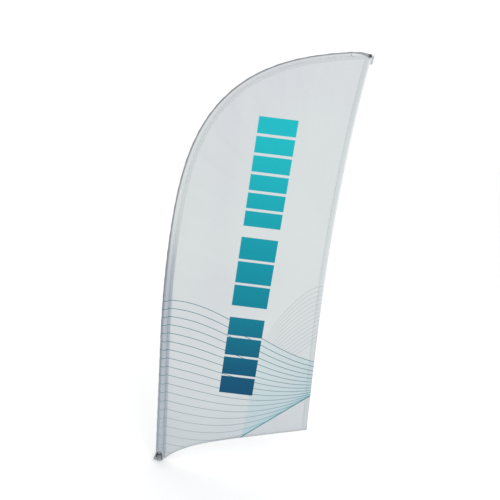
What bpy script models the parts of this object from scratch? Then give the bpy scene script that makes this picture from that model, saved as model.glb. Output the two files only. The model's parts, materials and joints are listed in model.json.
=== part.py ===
"""Feather flag on its sprung pole: tubes, sewn cloth, elastic and cord lock.

Metres, +Z up.  The origin is the centre of the pole's foot.  The pole rises
along +Z and bends towards +X; the flag hangs in the XZ plane, its printed
front facing -Y.
"""
import math

import bmesh
import bpy
from mathutils import Matrix, Vector

# ---- driving dimensions (metres) ------------------------------------------
GAP = 0.0003                 # clearance kept between touching pieces

# lower tube and its foot
LOWER_TUBE_LENGTH = 0.600    # top of the lower tube above the foot
LOWER_TUBE_R = 0.0110
TUBE_WALL = 0.0015
SOCKET_R = 0.0080            # bore of the foot socket, for a base's spindle
SOCKET_DEPTH = 0.060
SOCKET_FLOOR = 0.005
SOCKET_PLUG = 0.025          # how far the foot socket plugs into the lower tube

# middle tube and the pull-apart joint; distances are along the pole from its foot
SPIGOT_LENGTH = 0.070        # how far the middle tube plugs into the lower one
MIDDLE_TUBE_END = 0.975
STOP_RING_HEIGHT = 0.012
MIDDLE_TUBE_R = LOWER_TUBE_R - TUBE_WALL - GAP

# how the pole bends: bend = STIFF_BEND + WHIP_BEND * exp(-((s - at) / spread) ** 2)
STRAIGHT_LENGTH = LOWER_TUBE_LENGTH + 0.020
STIFF_BEND = 0.200           # bend of the stiff tubes, radians per metre
WHIP_BEND = 1.967            # extra bend of the whip at its sharpest
WHIP_BEND_AT = 1.649         # distance along the pole of the sharpest bend
WHIP_BEND_SPREAD = 0.337
TRACE_STEP = 0.005
BEND_STEP = 0.030            # spacing of the rings along the bent part

# upper ferrule and fibreglass sections
FERRULE_LENGTH = 0.090
FERRULE_WALL = 0.0011
FERRULE_SHOULDER = 0.010
UPPER_TUBE_START = MIDDLE_TUBE_END - 0.045
UPPER_TUBE_END = 1.620
UPPER_TUBE_TOP_R = 0.0050
UPPER_TUBE_BORE_TOP_R = 0.0036
UPPER_TUBE_WALL = 0.0014
TIP_ROD_START = UPPER_TUBE_END - 0.060
TIP_ROD_TOP_R = 0.0020
TIP_FERRULE_HEIGHT = 0.015
POLE_LENGTH = 2.135          # over the tip cap
CAP_LENGTH = 0.030
CAP_END = 0.009
CAP_WALL = 0.0014
FERRULE_BORE_R = MIDDLE_TUBE_R - TUBE_WALL - GAP - FERRULE_WALL
UPPER_TUBE_R = FERRULE_BORE_R - GAP

# snap button that locks the upper joint, pressed in along -Y
BUTTON_AT = UPPER_TUBE_START - 0.025
BUTTON_R = 0.0025
BUTTON_PROUD = 0.0016        # how far it stands out of the middle tube
BUTTON_FLANGE_R = 0.0036
BUTTON_FLANGE = 0.0012

# elastic at the back of the mouth
CORD_R = 0.0018
CORD_Z = 0.034

# cloth
CLOTH = 0.0008               # sleeve and panel thickness
SLEEVE_EASE = 0.0011         # room between the elastic, round the tube, and the cloth
SLEEVE_MOUTH_R = LOWER_TUBE_R + 2.0 * CORD_R + SLEEVE_EASE + CLOTH
SEWN = 0.0014                # thickness where cloth is doubled
SLEEVE_BUTTON_R = MIDDLE_TUBE_R + BUTTON_PROUD + CLOTH + 3.0 * GAP
SLEEVE_TIP_R = 0.0065
SLEEVE_END = POLE_LENGTH - 0.035
POCKET_END = POLE_LENGTH + 0.030
SEAM_WIDTH = 0.010
FREE_HEM = 0.020
BOTTOM_HEM = 0.010
CORNER_X = 0.6425            # lower free corner
CORNER_Z = 0.226
FREE_EDGE_HOLLOW = 0.033     # how far the free edge is cut inwards
FREE_EDGE_SKEW = 0.8         # below 1 puts the deepest point above the middle
BOTTOM_SLOPE = 0.25
BOTTOM_DROP = 0.070          # extra fall of the bottom edge at the sleeve
BOTTOM_DROP_SPAN = 0.080
CUFF_HEIGHT = 0.075          # reinforced cuff at the mouth of the sleeve
MOUTH_CUT = 0.043            # height of the arch cut in the front of the mouth
MOUTH_CUT_HALF_WIDTH = SLEEVE_MOUTH_R - 0.0030
BINDING_HEIGHT = 0.008
BINDING_THICK = 0.0010
TAB_WIDTH = 0.008
TAB_LENGTH = 0.036
TAB_THICK = 0.0012

# eyelet and cord lock at the back of the mouth
CORD_HALF_SPACING = CORD_R + 0.0002
EYELET_BORE_R = CORD_HALF_SPACING + CORD_R + 0.0012
EYELET_WALL = 0.0007
EYELET_FLANGE_R = EYELET_BORE_R + 0.0030
EYELET_FLANGE = 0.0010
PLUNGER_R = CORD_HALF_SPACING + CORD_R + 0.0018
PLUNGER_BELOW = 0.0095       # plunger foot below the cord
PLUNGER_TRAVEL = 0.0030
PLUNGER_HEAD = 0.0042
LOCK_WALL = 0.0016
LOCK_R = PLUNGER_R + GAP + LOCK_WALL
LOCK_Y = SLEEVE_MOUTH_R + 0.0030 + LOCK_R
LOCK_BELOW = 0.0205          # lock body below and above the cord
LOCK_ABOVE = 0.0085
LOCK_FLOOR = 0.0015
CORD_END_Y = LOCK_Y + LOCK_R + 0.0060
STOP_SIZE = (0.012, 0.0092, 0.008)

SPRING_STEPS = 12            # points in one turn of a coil spring
EDGE_STEPS = 28              # steps along a curved edge of the flag


# ---- materials --------------------------------------------------------------
def material(name, colour, roughness, metallic=0.0):
    made = bpy.data.materials.new(name)
    made.use_nodes = True
    shader = made.node_tree.nodes["Principled BSDF"]
    shader.inputs["Base Color"].default_value = (*colour, 1.0)
    shader.inputs["Roughness"].default_value = roughness
    shader.inputs["Metallic"].default_value = metallic
    return made


def make_materials():
    return {
        "printed_cloth": material("printed_cloth", (0.66, 0.71, 0.74), 0.75),
        "sleeve_cloth": material("sleeve_cloth", (0.70, 0.73, 0.76), 0.75),
        "hem_cloth": material("hem_cloth", (0.80, 0.82, 0.84), 0.75),
        "pocket_cloth": material("pocket_cloth", (0.25, 0.27, 0.31), 0.70),
        "webbing": material("webbing", (0.78, 0.80, 0.82), 0.80),
        "aluminium": material("aluminium", (0.62, 0.64, 0.66), 0.35, 1.0),
        "fibreglass": material("fibreglass", (0.12, 0.13, 0.14), 0.40),
        "steel": material("steel", (0.60, 0.61, 0.62), 0.30, 1.0),
        "black_plastic": material("black_plastic", (0.03, 0.03, 0.035), 0.45),
        "elastic": material("elastic", (0.04, 0.05, 0.07), 0.85),
    }


# ---- mesh helpers -----------------------------------------------------------
def add_object(name, mesh_data, finish, smooth=True):
    """Give a bmesh a name and a material, and put it in the scene."""
    bmesh.ops.recalc_face_normals(mesh_data, faces=mesh_data.faces)
    mesh = bpy.data.meshes.new(name)
    mesh_data.to_mesh(mesh)
    mesh_data.free()
    if smooth:
        mesh.shade_smooth()
        mesh.set_sharp_from_angle(angle=math.radians(35.0))
    mesh.materials.append(finish)
    made = bpy.data.objects.new(name, mesh)
    bpy.context.collection.objects.link(made)
    return made


def put_origin(made, place):
    """Move an object's origin to a point without moving its shape."""
    made.data.transform(Matrix.Translation(-Vector(place)))
    made.location = place


def cut(target, cutter):
    """Take the cutter's shape out of the target."""
    cutter.hide_render = True
    cutter.display_type = "WIRE"
    boolean = target.modifiers.new("cut_" + cutter.name, "BOOLEAN")
    boolean.operation = "DIFFERENCE"
    boolean.solver = "EXACT"
    boolean.object = cutter


def lathe(name, profile, finish, sides=24, axis="Z", place=(0.0, 0.0, 0.0), smooth=True):
    """Turn a closed (radius, height) outline about an axis through place."""
    mesh_data = bmesh.new()
    turn = {
        "Z": Matrix.Identity(4),
        "Y": Matrix.Rotation(math.radians(-90.0), 4, "X"),
    }[axis]
    rings = []
    for radius, height in profile:
        if radius == 0.0:
            rings.append([mesh_data.verts.new((0.0, 0.0, height))])
            continue
        around = [Vector((radius, 0.0, height))]
        step = Matrix.Rotation(math.tau / sides, 3, "Z")
        while len(around) < sides:
            around.append(step @ around[-1])
        rings.append([mesh_data.verts.new(corner) for corner in around])
    join_rings(mesh_data, rings, sides)
    bmesh.ops.transform(mesh_data, matrix=Matrix.Translation(place) @ turn, verts=mesh_data.verts)
    return add_object(name, mesh_data, finish, smooth)


def join_rings(mesh_data, rings, sides):
    """Join each ring to the next and the last to the first; one vert is a pole."""
    for ring, following in zip(rings, rings[1:] + rings[:1]):
        if len(ring) == 1 and len(following) == 1:
            continue
        for k in range(sides):
            after = (k + 1) % sides
            if len(ring) == 1:
                mesh_data.faces.new((ring[0], following[after], following[k]))
            elif len(following) == 1:
                mesh_data.faces.new((ring[k], ring[after], following[0]))
            else:
                mesh_data.faces.new((ring[k], ring[after], following[after], following[k]))


# ---- the line of the pole ---------------------------------------------------
def bend(s):
    if s < STRAIGHT_LENGTH:
        return 0.0
    return STIFF_BEND + WHIP_BEND * math.exp(-(((s - WHIP_BEND_AT) / WHIP_BEND_SPREAD) ** 2))


def trace_pole():
    """(x, z, lean) at equal steps along the pole's centreline."""
    x, z, lean = 0.0, 0.0, 0.0
    line = [(x, z, lean)]
    for k in range(int(POCKET_END / TRACE_STEP) + 12):
        next_lean = lean + TRACE_STEP * bend((k + 0.5) * TRACE_STEP)
        middle = 0.5 * (lean + next_lean)
        x += TRACE_STEP * math.sin(middle)
        z += TRACE_STEP * math.cos(middle)
        lean = next_lean
        line.append((x, z, lean))
    return line


POLE_LINE = trace_pole()


def pole_at(s):
    """(x, z, lean) of the centreline at a distance s from the foot."""
    if s <= 0.0:
        return 0.0, s, 0.0
    k = min(int(s / TRACE_STEP), len(POLE_LINE) - 2)
    share = s / TRACE_STEP - k
    return tuple(a + (b - a) * share for a, b in zip(POLE_LINE[k], POLE_LINE[k + 1]))


def beside_pole(s, offset):
    """(x, z) of a point beside the centreline, on the flag's side of it."""
    x, z, lean = pole_at(s)
    return x + offset * math.cos(lean), z - offset * math.sin(lean)


def stations(start, end):
    """Distances along the pole; pieces side by side share the ones where it bends."""
    grid = [STRAIGHT_LENGTH + k * BEND_STEP for k in range(int(POCKET_END / BEND_STEP))]
    margin = 0.1 * BEND_STEP
    return [start, *(s for s in grid if start + margin < s < end - margin), end]


def bent_lathe(name, profile, finish, sides=20, rise=None):
    """Turn a closed (distance, radius) outline about the bent pole line.

    rise(across, towards_back) lengthens the start of the outline, as for a cut mouth.
    """
    mesh_data = bmesh.new()
    rings = []
    for s, radius in profile:
        if radius == 0.0:
            x, z, _ = pole_at(s)
            rings.append([mesh_data.verts.new((x, 0.0, z))])
            continue
        ring = []
        for k in range(sides):
            across = radius * math.cos(math.tau * k / sides)
            back = radius * math.sin(math.tau * k / sides)
            lifted = s if rise is None else rise(s, across, back)
            x, z = beside_pole(lifted, across)
            ring.append(mesh_data.verts.new((x, back, z)))
        rings.append(ring)
    join_rings(mesh_data, rings, sides)
    return add_object(name, mesh_data, finish)


def tube_profile(start, end, outer, inner):
    """Outline of a tube; outer and inner are functions of distance."""
    places = stations(start, end)
    return [(s, outer(s)) for s in places] + [(s, inner(s)) for s in reversed(places)]


def fixed(value):
    return lambda s: value


def taper(start, end, start_value, end_value):
    return lambda s: start_value + (end_value - start_value) * (s - start) / (end - start)


# ---- cloth outline ------------------------------------------------------------
def sleeve_radius(s):
    """The sleeve narrows from its mouth to the snap button, then on to the tip."""
    if s < BUTTON_AT:
        return taper(0.0, BUTTON_AT, SLEEVE_MOUTH_R, SLEEVE_BUTTON_R)(s)
    return taper(BUTTON_AT, POCKET_END, SLEEVE_BUTTON_R, SLEEVE_TIP_R)(s)


def sleeve_bore(s):
    return sleeve_radius(s) - CLOTH


def seam_inner(s):
    return sleeve_radius(s) + GAP


def seam_outer(s):
    return seam_inner(s) + SEAM_WIDTH


def panel_side(s):
    return seam_outer(s) + GAP


def tip_corner():
    return beside_pole(POCKET_END, seam_outer(POCKET_END) + GAP)


def free_edge_x(z):
    """The hollow free edge, from the tip corner down to the lower corner."""
    tip_x, tip_z = tip_corner()
    down = min(max((tip_z - z) / (tip_z - CORNER_Z), 0.0), 1.0)
    chord = tip_x + (CORNER_X - tip_x) * down
    return chord - FREE_EDGE_HOLLOW * math.sin(math.pi * down ** FREE_EDGE_SKEW)


def bottom_edge_z(x):
    """The bottom edge: a plain slope that falls away near the sleeve."""
    fall = math.exp(-(x - SLEEVE_MOUTH_R) / BOTTOM_DROP_SPAN)
    return CORNER_Z - BOTTOM_SLOPE * (CORNER_X - x) - BOTTOM_DROP * fall


def seam_end(inset):
    """Distance along the pole where the seam meets a line inside the free edge."""
    low, high = STRAIGHT_LENGTH, POCKET_END + 8.0 * TRACE_STEP
    for _ in range(40):
        middle = 0.5 * (low + high)
        x, z = beside_pole(middle, panel_side(middle))
        if x < free_edge_x(z) - inset:
            low = middle
        else:
            high = middle
    return 0.5 * (low + high)


def free_edge_line(inset):
    """Points down the free edge, moved in by inset, from the seam to the bottom hem."""
    end = seam_end(inset)
    _, high = beside_pole(end, panel_side(end))
    low = bottom_edge_z(CORNER_X - inset) + BOTTOM_HEM + GAP
    heights = [high + (low - high) * k / EDGE_STEPS for k in range(EDGE_STEPS + 1)]
    return [(free_edge_x(z) - inset, z) for z in heights]


def plate(name, outline, thickness, finish):
    """A flat sheet of cloth with the given (x, z) outline."""
    mesh_data = bmesh.new()
    front = [mesh_data.verts.new((x, -0.5 * thickness, z)) for x, z in outline]
    back = [mesh_data.verts.new((x, 0.5 * thickness, z)) for x, z in outline]
    mesh_data.faces.new(front)
    mesh_data.faces.new(list(reversed(back)))
    count = len(outline)
    for k in range(count):
        after = (k + 1) % count
        mesh_data.faces.new((front[k], back[k], back[after], front[after]))
    return add_object(name, mesh_data, finish, smooth=False)


def strip(name, one_side, other_side, thickness, finish):
    """A flat band between two lines of (x, z) points, one quad for each step."""
    mesh_data = bmesh.new()
    rows = []
    for (ax, az), (bx, bz) in zip(one_side, other_side):
        corners = (
            (ax, -0.5 * thickness, az),
            (bx, -0.5 * thickness, bz),
            (bx, 0.5 * thickness, bz),
            (ax, 0.5 * thickness, az),
        )
        rows.append([mesh_data.verts.new(corner) for corner in corners])
    for row, following in zip(rows, rows[1:]):
        for k in range(4):
            after = (k + 1) % 4
            mesh_data.faces.new((row[k], row[after], following[after], following[k]))
    mesh_data.faces.new(rows[0])
    mesh_data.faces.new(rows[-1])
    return add_object(name, mesh_data, finish, smooth=False)


# ---- pole pieces ----------------------------------------------------------------
def make_lower_tube(finishes):
    bore = LOWER_TUBE_R - TUBE_WALL
    start = SOCKET_DEPTH + SOCKET_FLOOR + GAP
    profile = tube_profile(start, LOWER_TUBE_LENGTH, fixed(LOWER_TUBE_R), fixed(bore))
    bent_lathe("lower_tube", profile, finishes["aluminium"], sides=32)


def make_foot_socket(finishes):
    shoulder = SOCKET_DEPTH + SOCKET_FLOOR
    plug_r = LOWER_TUBE_R - TUBE_WALL - GAP
    profile = [
        (0.0, LOWER_TUBE_R),
        (shoulder, LOWER_TUBE_R),
        (shoulder, plug_r),
        (shoulder + SOCKET_PLUG, plug_r),
        (shoulder + SOCKET_PLUG, 0.0),
        (SOCKET_DEPTH, 0.0),
        (SOCKET_DEPTH, SOCKET_R),
        (0.0, SOCKET_R),
    ]
    bent_lathe("foot_socket", profile, finishes["black_plastic"], sides=32)


def make_middle_tube(finishes):
    start = LOWER_TUBE_LENGTH - SPIGOT_LENGTH
    bore = fixed(MIDDLE_TUBE_R - TUBE_WALL)
    profile = tube_profile(start, MIDDLE_TUBE_END, fixed(MIDDLE_TUBE_R), bore)
    made = bent_lathe("middle_tube", profile, finishes["aluminium"], sides=24)
    put_origin(made, (0.0, 0.0, LOWER_TUBE_LENGTH))
    return made


def make_stop_ring(finishes):
    start = LOWER_TUBE_LENGTH + GAP
    profile = tube_profile(start, start + STOP_RING_HEIGHT, fixed(LOWER_TUBE_R), fixed(MIDDLE_TUBE_R + GAP))
    bent_lathe("stop_ring", profile, finishes["black_plastic"], sides=24)


def make_upper_ferrule(finishes):
    outer = MIDDLE_TUBE_R - TUBE_WALL - GAP
    start = MIDDLE_TUBE_END - FERRULE_LENGTH
    shoulder = MIDDLE_TUBE_END + GAP
    end = shoulder + FERRULE_SHOULDER
    inside = stations(start, shoulder)
    profile = [(s, outer) for s in inside]
    profile += [(shoulder, MIDDLE_TUBE_R), (end, MIDDLE_TUBE_R), (end, FERRULE_BORE_R)]
    profile += [(s, FERRULE_BORE_R) for s in reversed(inside)]
    return bent_lathe("upper_ferrule", profile, finishes["steel"], sides=24)


def make_upper_tube(finishes):
    outer = taper(UPPER_TUBE_START, UPPER_TUBE_END, UPPER_TUBE_R, UPPER_TUBE_TOP_R)
    bore = taper(UPPER_TUBE_START, UPPER_TUBE_END, UPPER_TUBE_R - UPPER_TUBE_WALL, UPPER_TUBE_BORE_TOP_R)
    profile = tube_profile(UPPER_TUBE_START, UPPER_TUBE_END, outer, bore)
    bent_lathe("upper_tube", profile, finishes["fibreglass"], sides=16)


def make_tip_ferrule(finishes):
    start = UPPER_TUBE_END + GAP
    profile = tube_profile(start, start + TIP_FERRULE_HEIGHT, fixed(UPPER_TUBE_TOP_R), fixed(UPPER_TUBE_BORE_TOP_R))
    bent_lathe("tip_ferrule", profile, finishes["steel"], sides=16)


def make_tip_rod(finishes):
    end = POLE_LENGTH - CAP_END - GAP
    radius = taper(TIP_ROD_START, end, UPPER_TUBE_BORE_TOP_R - GAP, TIP_ROD_TOP_R)
    profile = [(TIP_ROD_START, 0.0)]
    profile += [(s, radius(s)) for s in stations(TIP_ROD_START, end)]
    profile += [(end, 0.0)]
    bent_lathe("tip_rod", profile, finishes["fibreglass"], sides=12)


def make_tip_cap(finishes):
    start = POLE_LENGTH - CAP_LENGTH
    bore = TIP_ROD_TOP_R + 2.0 * GAP
    outer = bore + CAP_WALL
    dome = [(POLE_LENGTH - outer + outer * math.sin(a), outer * math.cos(a)) for a in (0.0, 0.5, 1.0)]
    profile = [(start, outer), *dome, (POLE_LENGTH, 0.0)]
    profile += [(POLE_LENGTH - CAP_END, 0.0), (POLE_LENGTH - CAP_END, bore), (start, bore)]
    bent_lathe("tip_cap", profile, finishes["black_plastic"], sides=16)


def make_snap_button(finishes, middle_tube, upper_ferrule):
    x, z, _ = pole_at(BUTTON_AT)
    flange_top = math.sqrt(FERRULE_BORE_R ** 2 - BUTTON_FLANGE_R ** 2) - GAP
    flange_foot = flange_top - BUTTON_FLANGE
    top = MIDDLE_TUBE_R + BUTTON_PROUD
    crown = 0.0008
    profile = [
        (0.0, flange_foot),
        (BUTTON_FLANGE_R, flange_foot),
        (BUTTON_FLANGE_R, flange_top),
        (BUTTON_R, flange_top),
        (BUTTON_R, top - crown),
        (BUTTON_R - crown, top),
        (0.0, top),
    ]
    lathe("snap_button", profile, finishes["steel"], sides=20, axis="Y", place=(x, 0.0, z))
    hole_r = BUTTON_R + GAP
    hole = [(0.0, 0.0), (hole_r, 0.0), (hole_r, 2.0 * top), (0.0, 2.0 * top)]
    hole_cutter = lathe("snap_button_hole", hole, finishes["steel"], sides=20, axis="Y", place=(x, 0.0, z))
    cut(middle_tube, hole_cutter)
    cut(upper_ferrule, hole_cutter)

    far_wall = math.sqrt(FERRULE_BORE_R ** 2 - BUTTON_FLANGE_R ** 2)
    wire = 0.00035
    coil_spring(
        "snap_spring",
        coil_r=BUTTON_FLANGE_R - 2.0 * wire,
        wire_r=wire,
        start=Vector((x, -far_wall + GAP + wire, z)),
        end=Vector((x, flange_foot - GAP - wire, z)),
        turns=5,
        finish=finishes["steel"],
    )


def coil_spring(name, coil_r, wire_r, start, end, turns, finish):
    """A round wire wound along the straight line from start to end."""
    line = end - start
    along = line.normalized()
    side = Vector((1.0, 0.0, 0.0))
    other = along.cross(side)
    count = turns * SPRING_STEPS
    points = []
    for k in range(count + 1):
        angle = math.tau * k / SPRING_STEPS
        points.append(start + line * (k / count) + coil_r * (side * math.cos(angle) + other * math.sin(angle)))
    return poly_tube(name, points, wire_r, finish, resolution=1)


def poly_tube(name, points, radius, finish, resolution=2):
    """A round bar along a list of points, with filled caps."""
    curve = bpy.data.curves.new(name, "CURVE")
    curve.dimensions = "3D"
    curve.bevel_depth = radius
    curve.bevel_resolution = resolution
    curve.use_fill_caps = True
    spline = curve.splines.new("POLY")
    spline.points.add(len(points) - 1)
    for point, place in zip(spline.points, points):
        point.co = (*place, 1.0)
    curve.materials.append(finish)
    made = bpy.data.objects.new(name, curve)
    bpy.context.collection.objects.link(made)
    return made


# ---- cloth pieces ---------------------------------------------------------------
def mouth_rise(s, across, back):
    """Arch cut in the front of the sleeve's mouth."""
    if s > BINDING_HEIGHT or back >= 0.0 or abs(across) >= MOUTH_CUT_HALF_WIDTH:
        return s
    return s + MOUTH_CUT * math.sqrt(1.0 - (across / MOUTH_CUT_HALF_WIDTH) ** 2)


def make_sleeve_cuff(finishes):
    profile = tube_profile(0.0, CUFF_HEIGHT, sleeve_radius, sleeve_bore)
    return bent_lathe("sleeve_cuff", profile, finishes["hem_cloth"], sides=24, rise=mouth_rise)


def make_pole_sleeve(finishes):
    profile = tube_profile(CUFF_HEIGHT + GAP, SLEEVE_END, sleeve_radius, sleeve_bore)
    made = bent_lathe("pole_sleeve", profile, finishes["sleeve_cloth"], sides=24)
    put_origin(made, (0.0, 0.0, LOWER_TUBE_LENGTH))


def make_mouth_binding(finishes):
    inner = SLEEVE_MOUTH_R + GAP
    outer = inner + BINDING_THICK
    profile = [(0.0, outer), (BINDING_HEIGHT, outer), (BINDING_HEIGHT, inner), (0.0, inner)]
    binding = bent_lathe("mouth_binding", profile, finishes["hem_cloth"], sides=24, rise=mouth_rise)
    seam_slot = SEWN + 2.0 * GAP
    low = (0.5 * inner, -0.5 * seam_slot, -GAP)
    high = (2.0 * outer, 0.5 * seam_slot, BINDING_HEIGHT + MOUTH_CUT)
    cut(binding, box("mouth_binding_slot", low, high, finishes["hem_cloth"]))


def box(name, low, high, finish):
    mesh_data = bmesh.new()
    bmesh.ops.create_cube(mesh_data, size=1.0)
    size = Vector(high) - Vector(low)
    middle = (Vector(high) + Vector(low)) * 0.5
    place = Matrix.Translation(middle) @ Matrix.Diagonal((*size, 1.0))
    bmesh.ops.transform(mesh_data, matrix=place, verts=mesh_data.verts)
    return add_object(name, mesh_data, finish, smooth=False)


def make_sleeve_seam(finishes):
    start_z = bottom_edge_z(seam_outer(0.0))
    places = stations(max(start_z, 0.0), POCKET_END)
    one_side = [beside_pole(s, seam_inner(s)) for s in places]
    other_side = [beside_pole(s, seam_outer(s)) for s in places]
    strip("sleeve_seam", one_side, other_side, SEWN, finishes["sleeve_cloth"])


def make_bottom_hem(finishes):
    left = panel_side(0.0)
    xs = [left + (CORNER_X - left) * (k / EDGE_STEPS) ** 1.5 for k in range(EDGE_STEPS + 1)]
    lower = [(x, bottom_edge_z(x)) for x in xs]
    upper = [(x, bottom_edge_z(x) + BOTTOM_HEM) for x in xs]
    strip("bottom_hem", lower, upper, SEWN, finishes["hem_cloth"])


def make_free_edge_hem(finishes):
    strip("free_edge_hem", free_edge_line(FREE_HEM), free_edge_line(0.0), SEWN, finishes["hem_cloth"])


def make_flag_panel(finishes):
    inset = FREE_HEM + GAP
    left_x = panel_side(0.0)
    start = bottom_edge_z(left_x) + BOTTOM_HEM + GAP
    places = stations(start, seam_end(inset))
    outline = [beside_pole(s, panel_side(s)) for s in places[:-1]]
    outline += free_edge_line(inset)
    right_x = outline[-1][0]
    for k in range(1, EDGE_STEPS):
        x = left_x + (right_x - left_x) * (1.0 - k / EDGE_STEPS) ** 1.5
        outline.append((x, bottom_edge_z(x) + BOTTOM_HEM + GAP))
    plate("flag_panel", outline, CLOTH, finishes["printed_cloth"])


def make_tip_pocket(finishes):
    start = SLEEVE_END + GAP
    bore = TIP_ROD_TOP_R + 2.0 * GAP + CAP_WALL + GAP
    outer = taper(start, POCKET_END, SLEEVE_TIP_R, 0.7 * SLEEVE_TIP_R)
    bore_end = POLE_LENGTH + GAP
    places = stations(start, POCKET_END)
    profile = [(s, outer(s)) for s in places]
    profile += [(POCKET_END, 0.0), (bore_end, 0.0), (bore_end, bore), (start, bore)]
    bent_lathe("tip_pocket", profile, finishes["pocket_cloth"], sides=16)


def make_tip_tab(finishes):
    """A tab of tape that hangs from the tip just outside the free edge."""
    (corner_x, corner_z), (below_x, below_z) = free_edge_line(0.0)[:2]
    top_z = pole_at(POCKET_END)[1]
    foot_z = top_z - TAB_LENGTH
    foot_x = corner_x + (below_x - corner_x) * (corner_z - foot_z) / (corner_z - below_z)
    one_side = [(corner_x + GAP, top_z), (corner_x + GAP, corner_z), (foot_x + GAP, foot_z)]
    other_side = [(x + TAB_WIDTH, z) for x, z in one_side]
    strip("tip_tab", one_side, other_side, TAB_THICK, finishes["webbing"])


# ---- elastic and cord lock --------------------------------------------------------
def smooth_route(points, per_span):
    """Points on one smooth curve through the given ones."""
    route = []
    padded = [points[0] * 2 - points[1], *points, points[-1] * 2 - points[-2]]
    for a, b, c, d in zip(padded, padded[1:], padded[2:], padded[3:]):
        for k in range(per_span):
            t = k / per_span
            route.append(
                0.5 * (b * 2 + (c - a) * t + (a * 2 - b * 5 + c * 4 - d) * t ** 2 + (b * 3 - a - c * 3 + d) * t ** 3)
            )
    return route + [points[-1]]


def make_mouth_cord(finishes):
    ring = LOWER_TUBE_R + GAP + CORD_R
    half = [Vector((CORD_HALF_SPACING, CORD_END_Y - 0.009 * k, CORD_Z)) for k in range(3)]
    half += [Vector((1.05 * CORD_HALF_SPACING, SLEEVE_MOUTH_R - CLOTH, CORD_Z))]
    for degrees in (70.0, 45.0, 15.0, -15.0, -45.0, -75.0):
        reach = ring * (1.03 if degrees > 60.0 else 1.01)
        angle = math.radians(degrees)
        half.append(Vector((reach * math.cos(angle), reach * math.sin(angle), CORD_Z)))
    mirrored = [Vector((-p.x, p.y, p.z)) for p in reversed(half)]
    poly_tube("mouth_cord", smooth_route(half + mirrored, 3), CORD_R, finishes["elastic"])


def make_mouth_eyelet(finishes, cuff):
    barrel = EYELET_BORE_R + EYELET_WALL
    start = SLEEVE_MOUTH_R - CLOTH - 2.0 * GAP
    flange = SLEEVE_MOUTH_R + GAP
    profile = [
        (EYELET_BORE_R, start),
        (barrel, start),
        (barrel, flange),
        (EYELET_FLANGE_R, flange),
        (EYELET_FLANGE_R, flange + EYELET_FLANGE),
        (EYELET_BORE_R, flange + EYELET_FLANGE),
    ]
    place = (0.0, 0.0, CORD_Z)
    lathe("mouth_eyelet", profile, finishes["steel"], sides=24, axis="Y", place=place)
    hole_r = barrel + GAP
    hole = [(0.0, 0.5 * LOWER_TUBE_R), (hole_r, 0.5 * LOWER_TUBE_R), (hole_r, 2.0 * flange), (0.0, 2.0 * flange)]
    cut(cuff, lathe("mouth_eyelet_hole", hole, finishes["steel"], sides=24, axis="Y", place=place))


def make_cord_lock(finishes):
    plastic = finishes["black_plastic"]
    axis_place = (0.0, LOCK_Y, CORD_Z)
    bore = PLUNGER_R + GAP
    floor = -LOCK_BELOW + LOCK_FLOOR
    body_profile = [
        (0.0, -LOCK_BELOW),
        (LOCK_R, -LOCK_BELOW),
        (LOCK_R, LOCK_ABOVE),
        (bore, LOCK_ABOVE),
        (bore, floor),
        (0.0, floor),
    ]
    body = lathe("cord_lock_body", body_profile, plastic, place=axis_place)
    head_foot = LOCK_ABOVE + PLUNGER_TRAVEL + GAP
    rounding = 0.25 * PLUNGER_HEAD
    plunger_profile = [
        (0.0, -PLUNGER_BELOW),
        (PLUNGER_R, -PLUNGER_BELOW),
        (PLUNGER_R, head_foot),
        (LOCK_R, head_foot),
        (LOCK_R, head_foot + PLUNGER_HEAD - rounding),
        (LOCK_R - rounding, head_foot + PLUNGER_HEAD),
        (0.0, head_foot + PLUNGER_HEAD),
    ]
    plunger = lathe("cord_lock_plunger", plunger_profile, plastic, place=axis_place)

    half_slot = CORD_HALF_SPACING + CORD_R + GAP
    cord_room = CORD_R + GAP
    low = (-half_slot, LOCK_Y - 2.0 * LOCK_R, CORD_Z - cord_room)
    body_high = (half_slot, LOCK_Y + 2.0 * LOCK_R, CORD_Z + cord_room)
    plunger_high = (half_slot, LOCK_Y + 2.0 * LOCK_R, CORD_Z + cord_room + PLUNGER_TRAVEL)
    cut(body, box("cord_lock_body_slot", low, body_high, plastic))
    cut(plunger, box("cord_lock_plunger_slot", low, plunger_high, plastic))
    put_origin(plunger, axis_place)

    wire = 0.0004
    coil_spring(
        "cord_lock_spring",
        coil_r=PLUNGER_R - 3.0 * wire,
        wire_r=wire,
        start=Vector((0.0, LOCK_Y, CORD_Z + floor + GAP + wire)),
        end=Vector((0.0, LOCK_Y, CORD_Z - PLUNGER_BELOW - GAP - wire)),
        turns=4,
        finish=finishes["steel"],
    )


def make_cord_stop(finishes):
    width, depth, height = STOP_SIZE
    start = CORD_END_Y + GAP
    made = box(
        "cord_stop",
        (-0.5 * width, start, CORD_Z - 0.5 * height),
        (0.5 * width, start + depth, CORD_Z + 0.5 * height),
        finishes["black_plastic"],
    )
    rounding = made.modifiers.new("rounding", "BEVEL")
    rounding.width = 0.15 * height
    rounding.segments = 2


# ---- the whole object ---------------------------------------------------------------
def main():
    for old in list(bpy.data.objects):
        bpy.data.objects.remove(old, do_unlink=True)
    finishes = make_materials()

    make_foot_socket(finishes)
    make_lower_tube(finishes)
    middle_tube = make_middle_tube(finishes)
    make_stop_ring(finishes)
    upper_ferrule = make_upper_ferrule(finishes)
    make_snap_button(finishes, middle_tube, upper_ferrule)
    make_upper_tube(finishes)
    make_tip_ferrule(finishes)
    make_tip_rod(finishes)
    make_tip_cap(finishes)

    cuff = make_sleeve_cuff(finishes)
    make_pole_sleeve(finishes)
    make_mouth_binding(finishes)
    make_sleeve_seam(finishes)
    make_bottom_hem(finishes)
    make_free_edge_hem(finishes)
    make_flag_panel(finishes)
    make_tip_pocket(finishes)
    make_tip_tab(finishes)

    make_mouth_cord(finishes)
    make_mouth_eyelet(finishes, cuff)
    make_cord_lock(finishes)
    make_cord_stop(finishes)


main()
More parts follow.
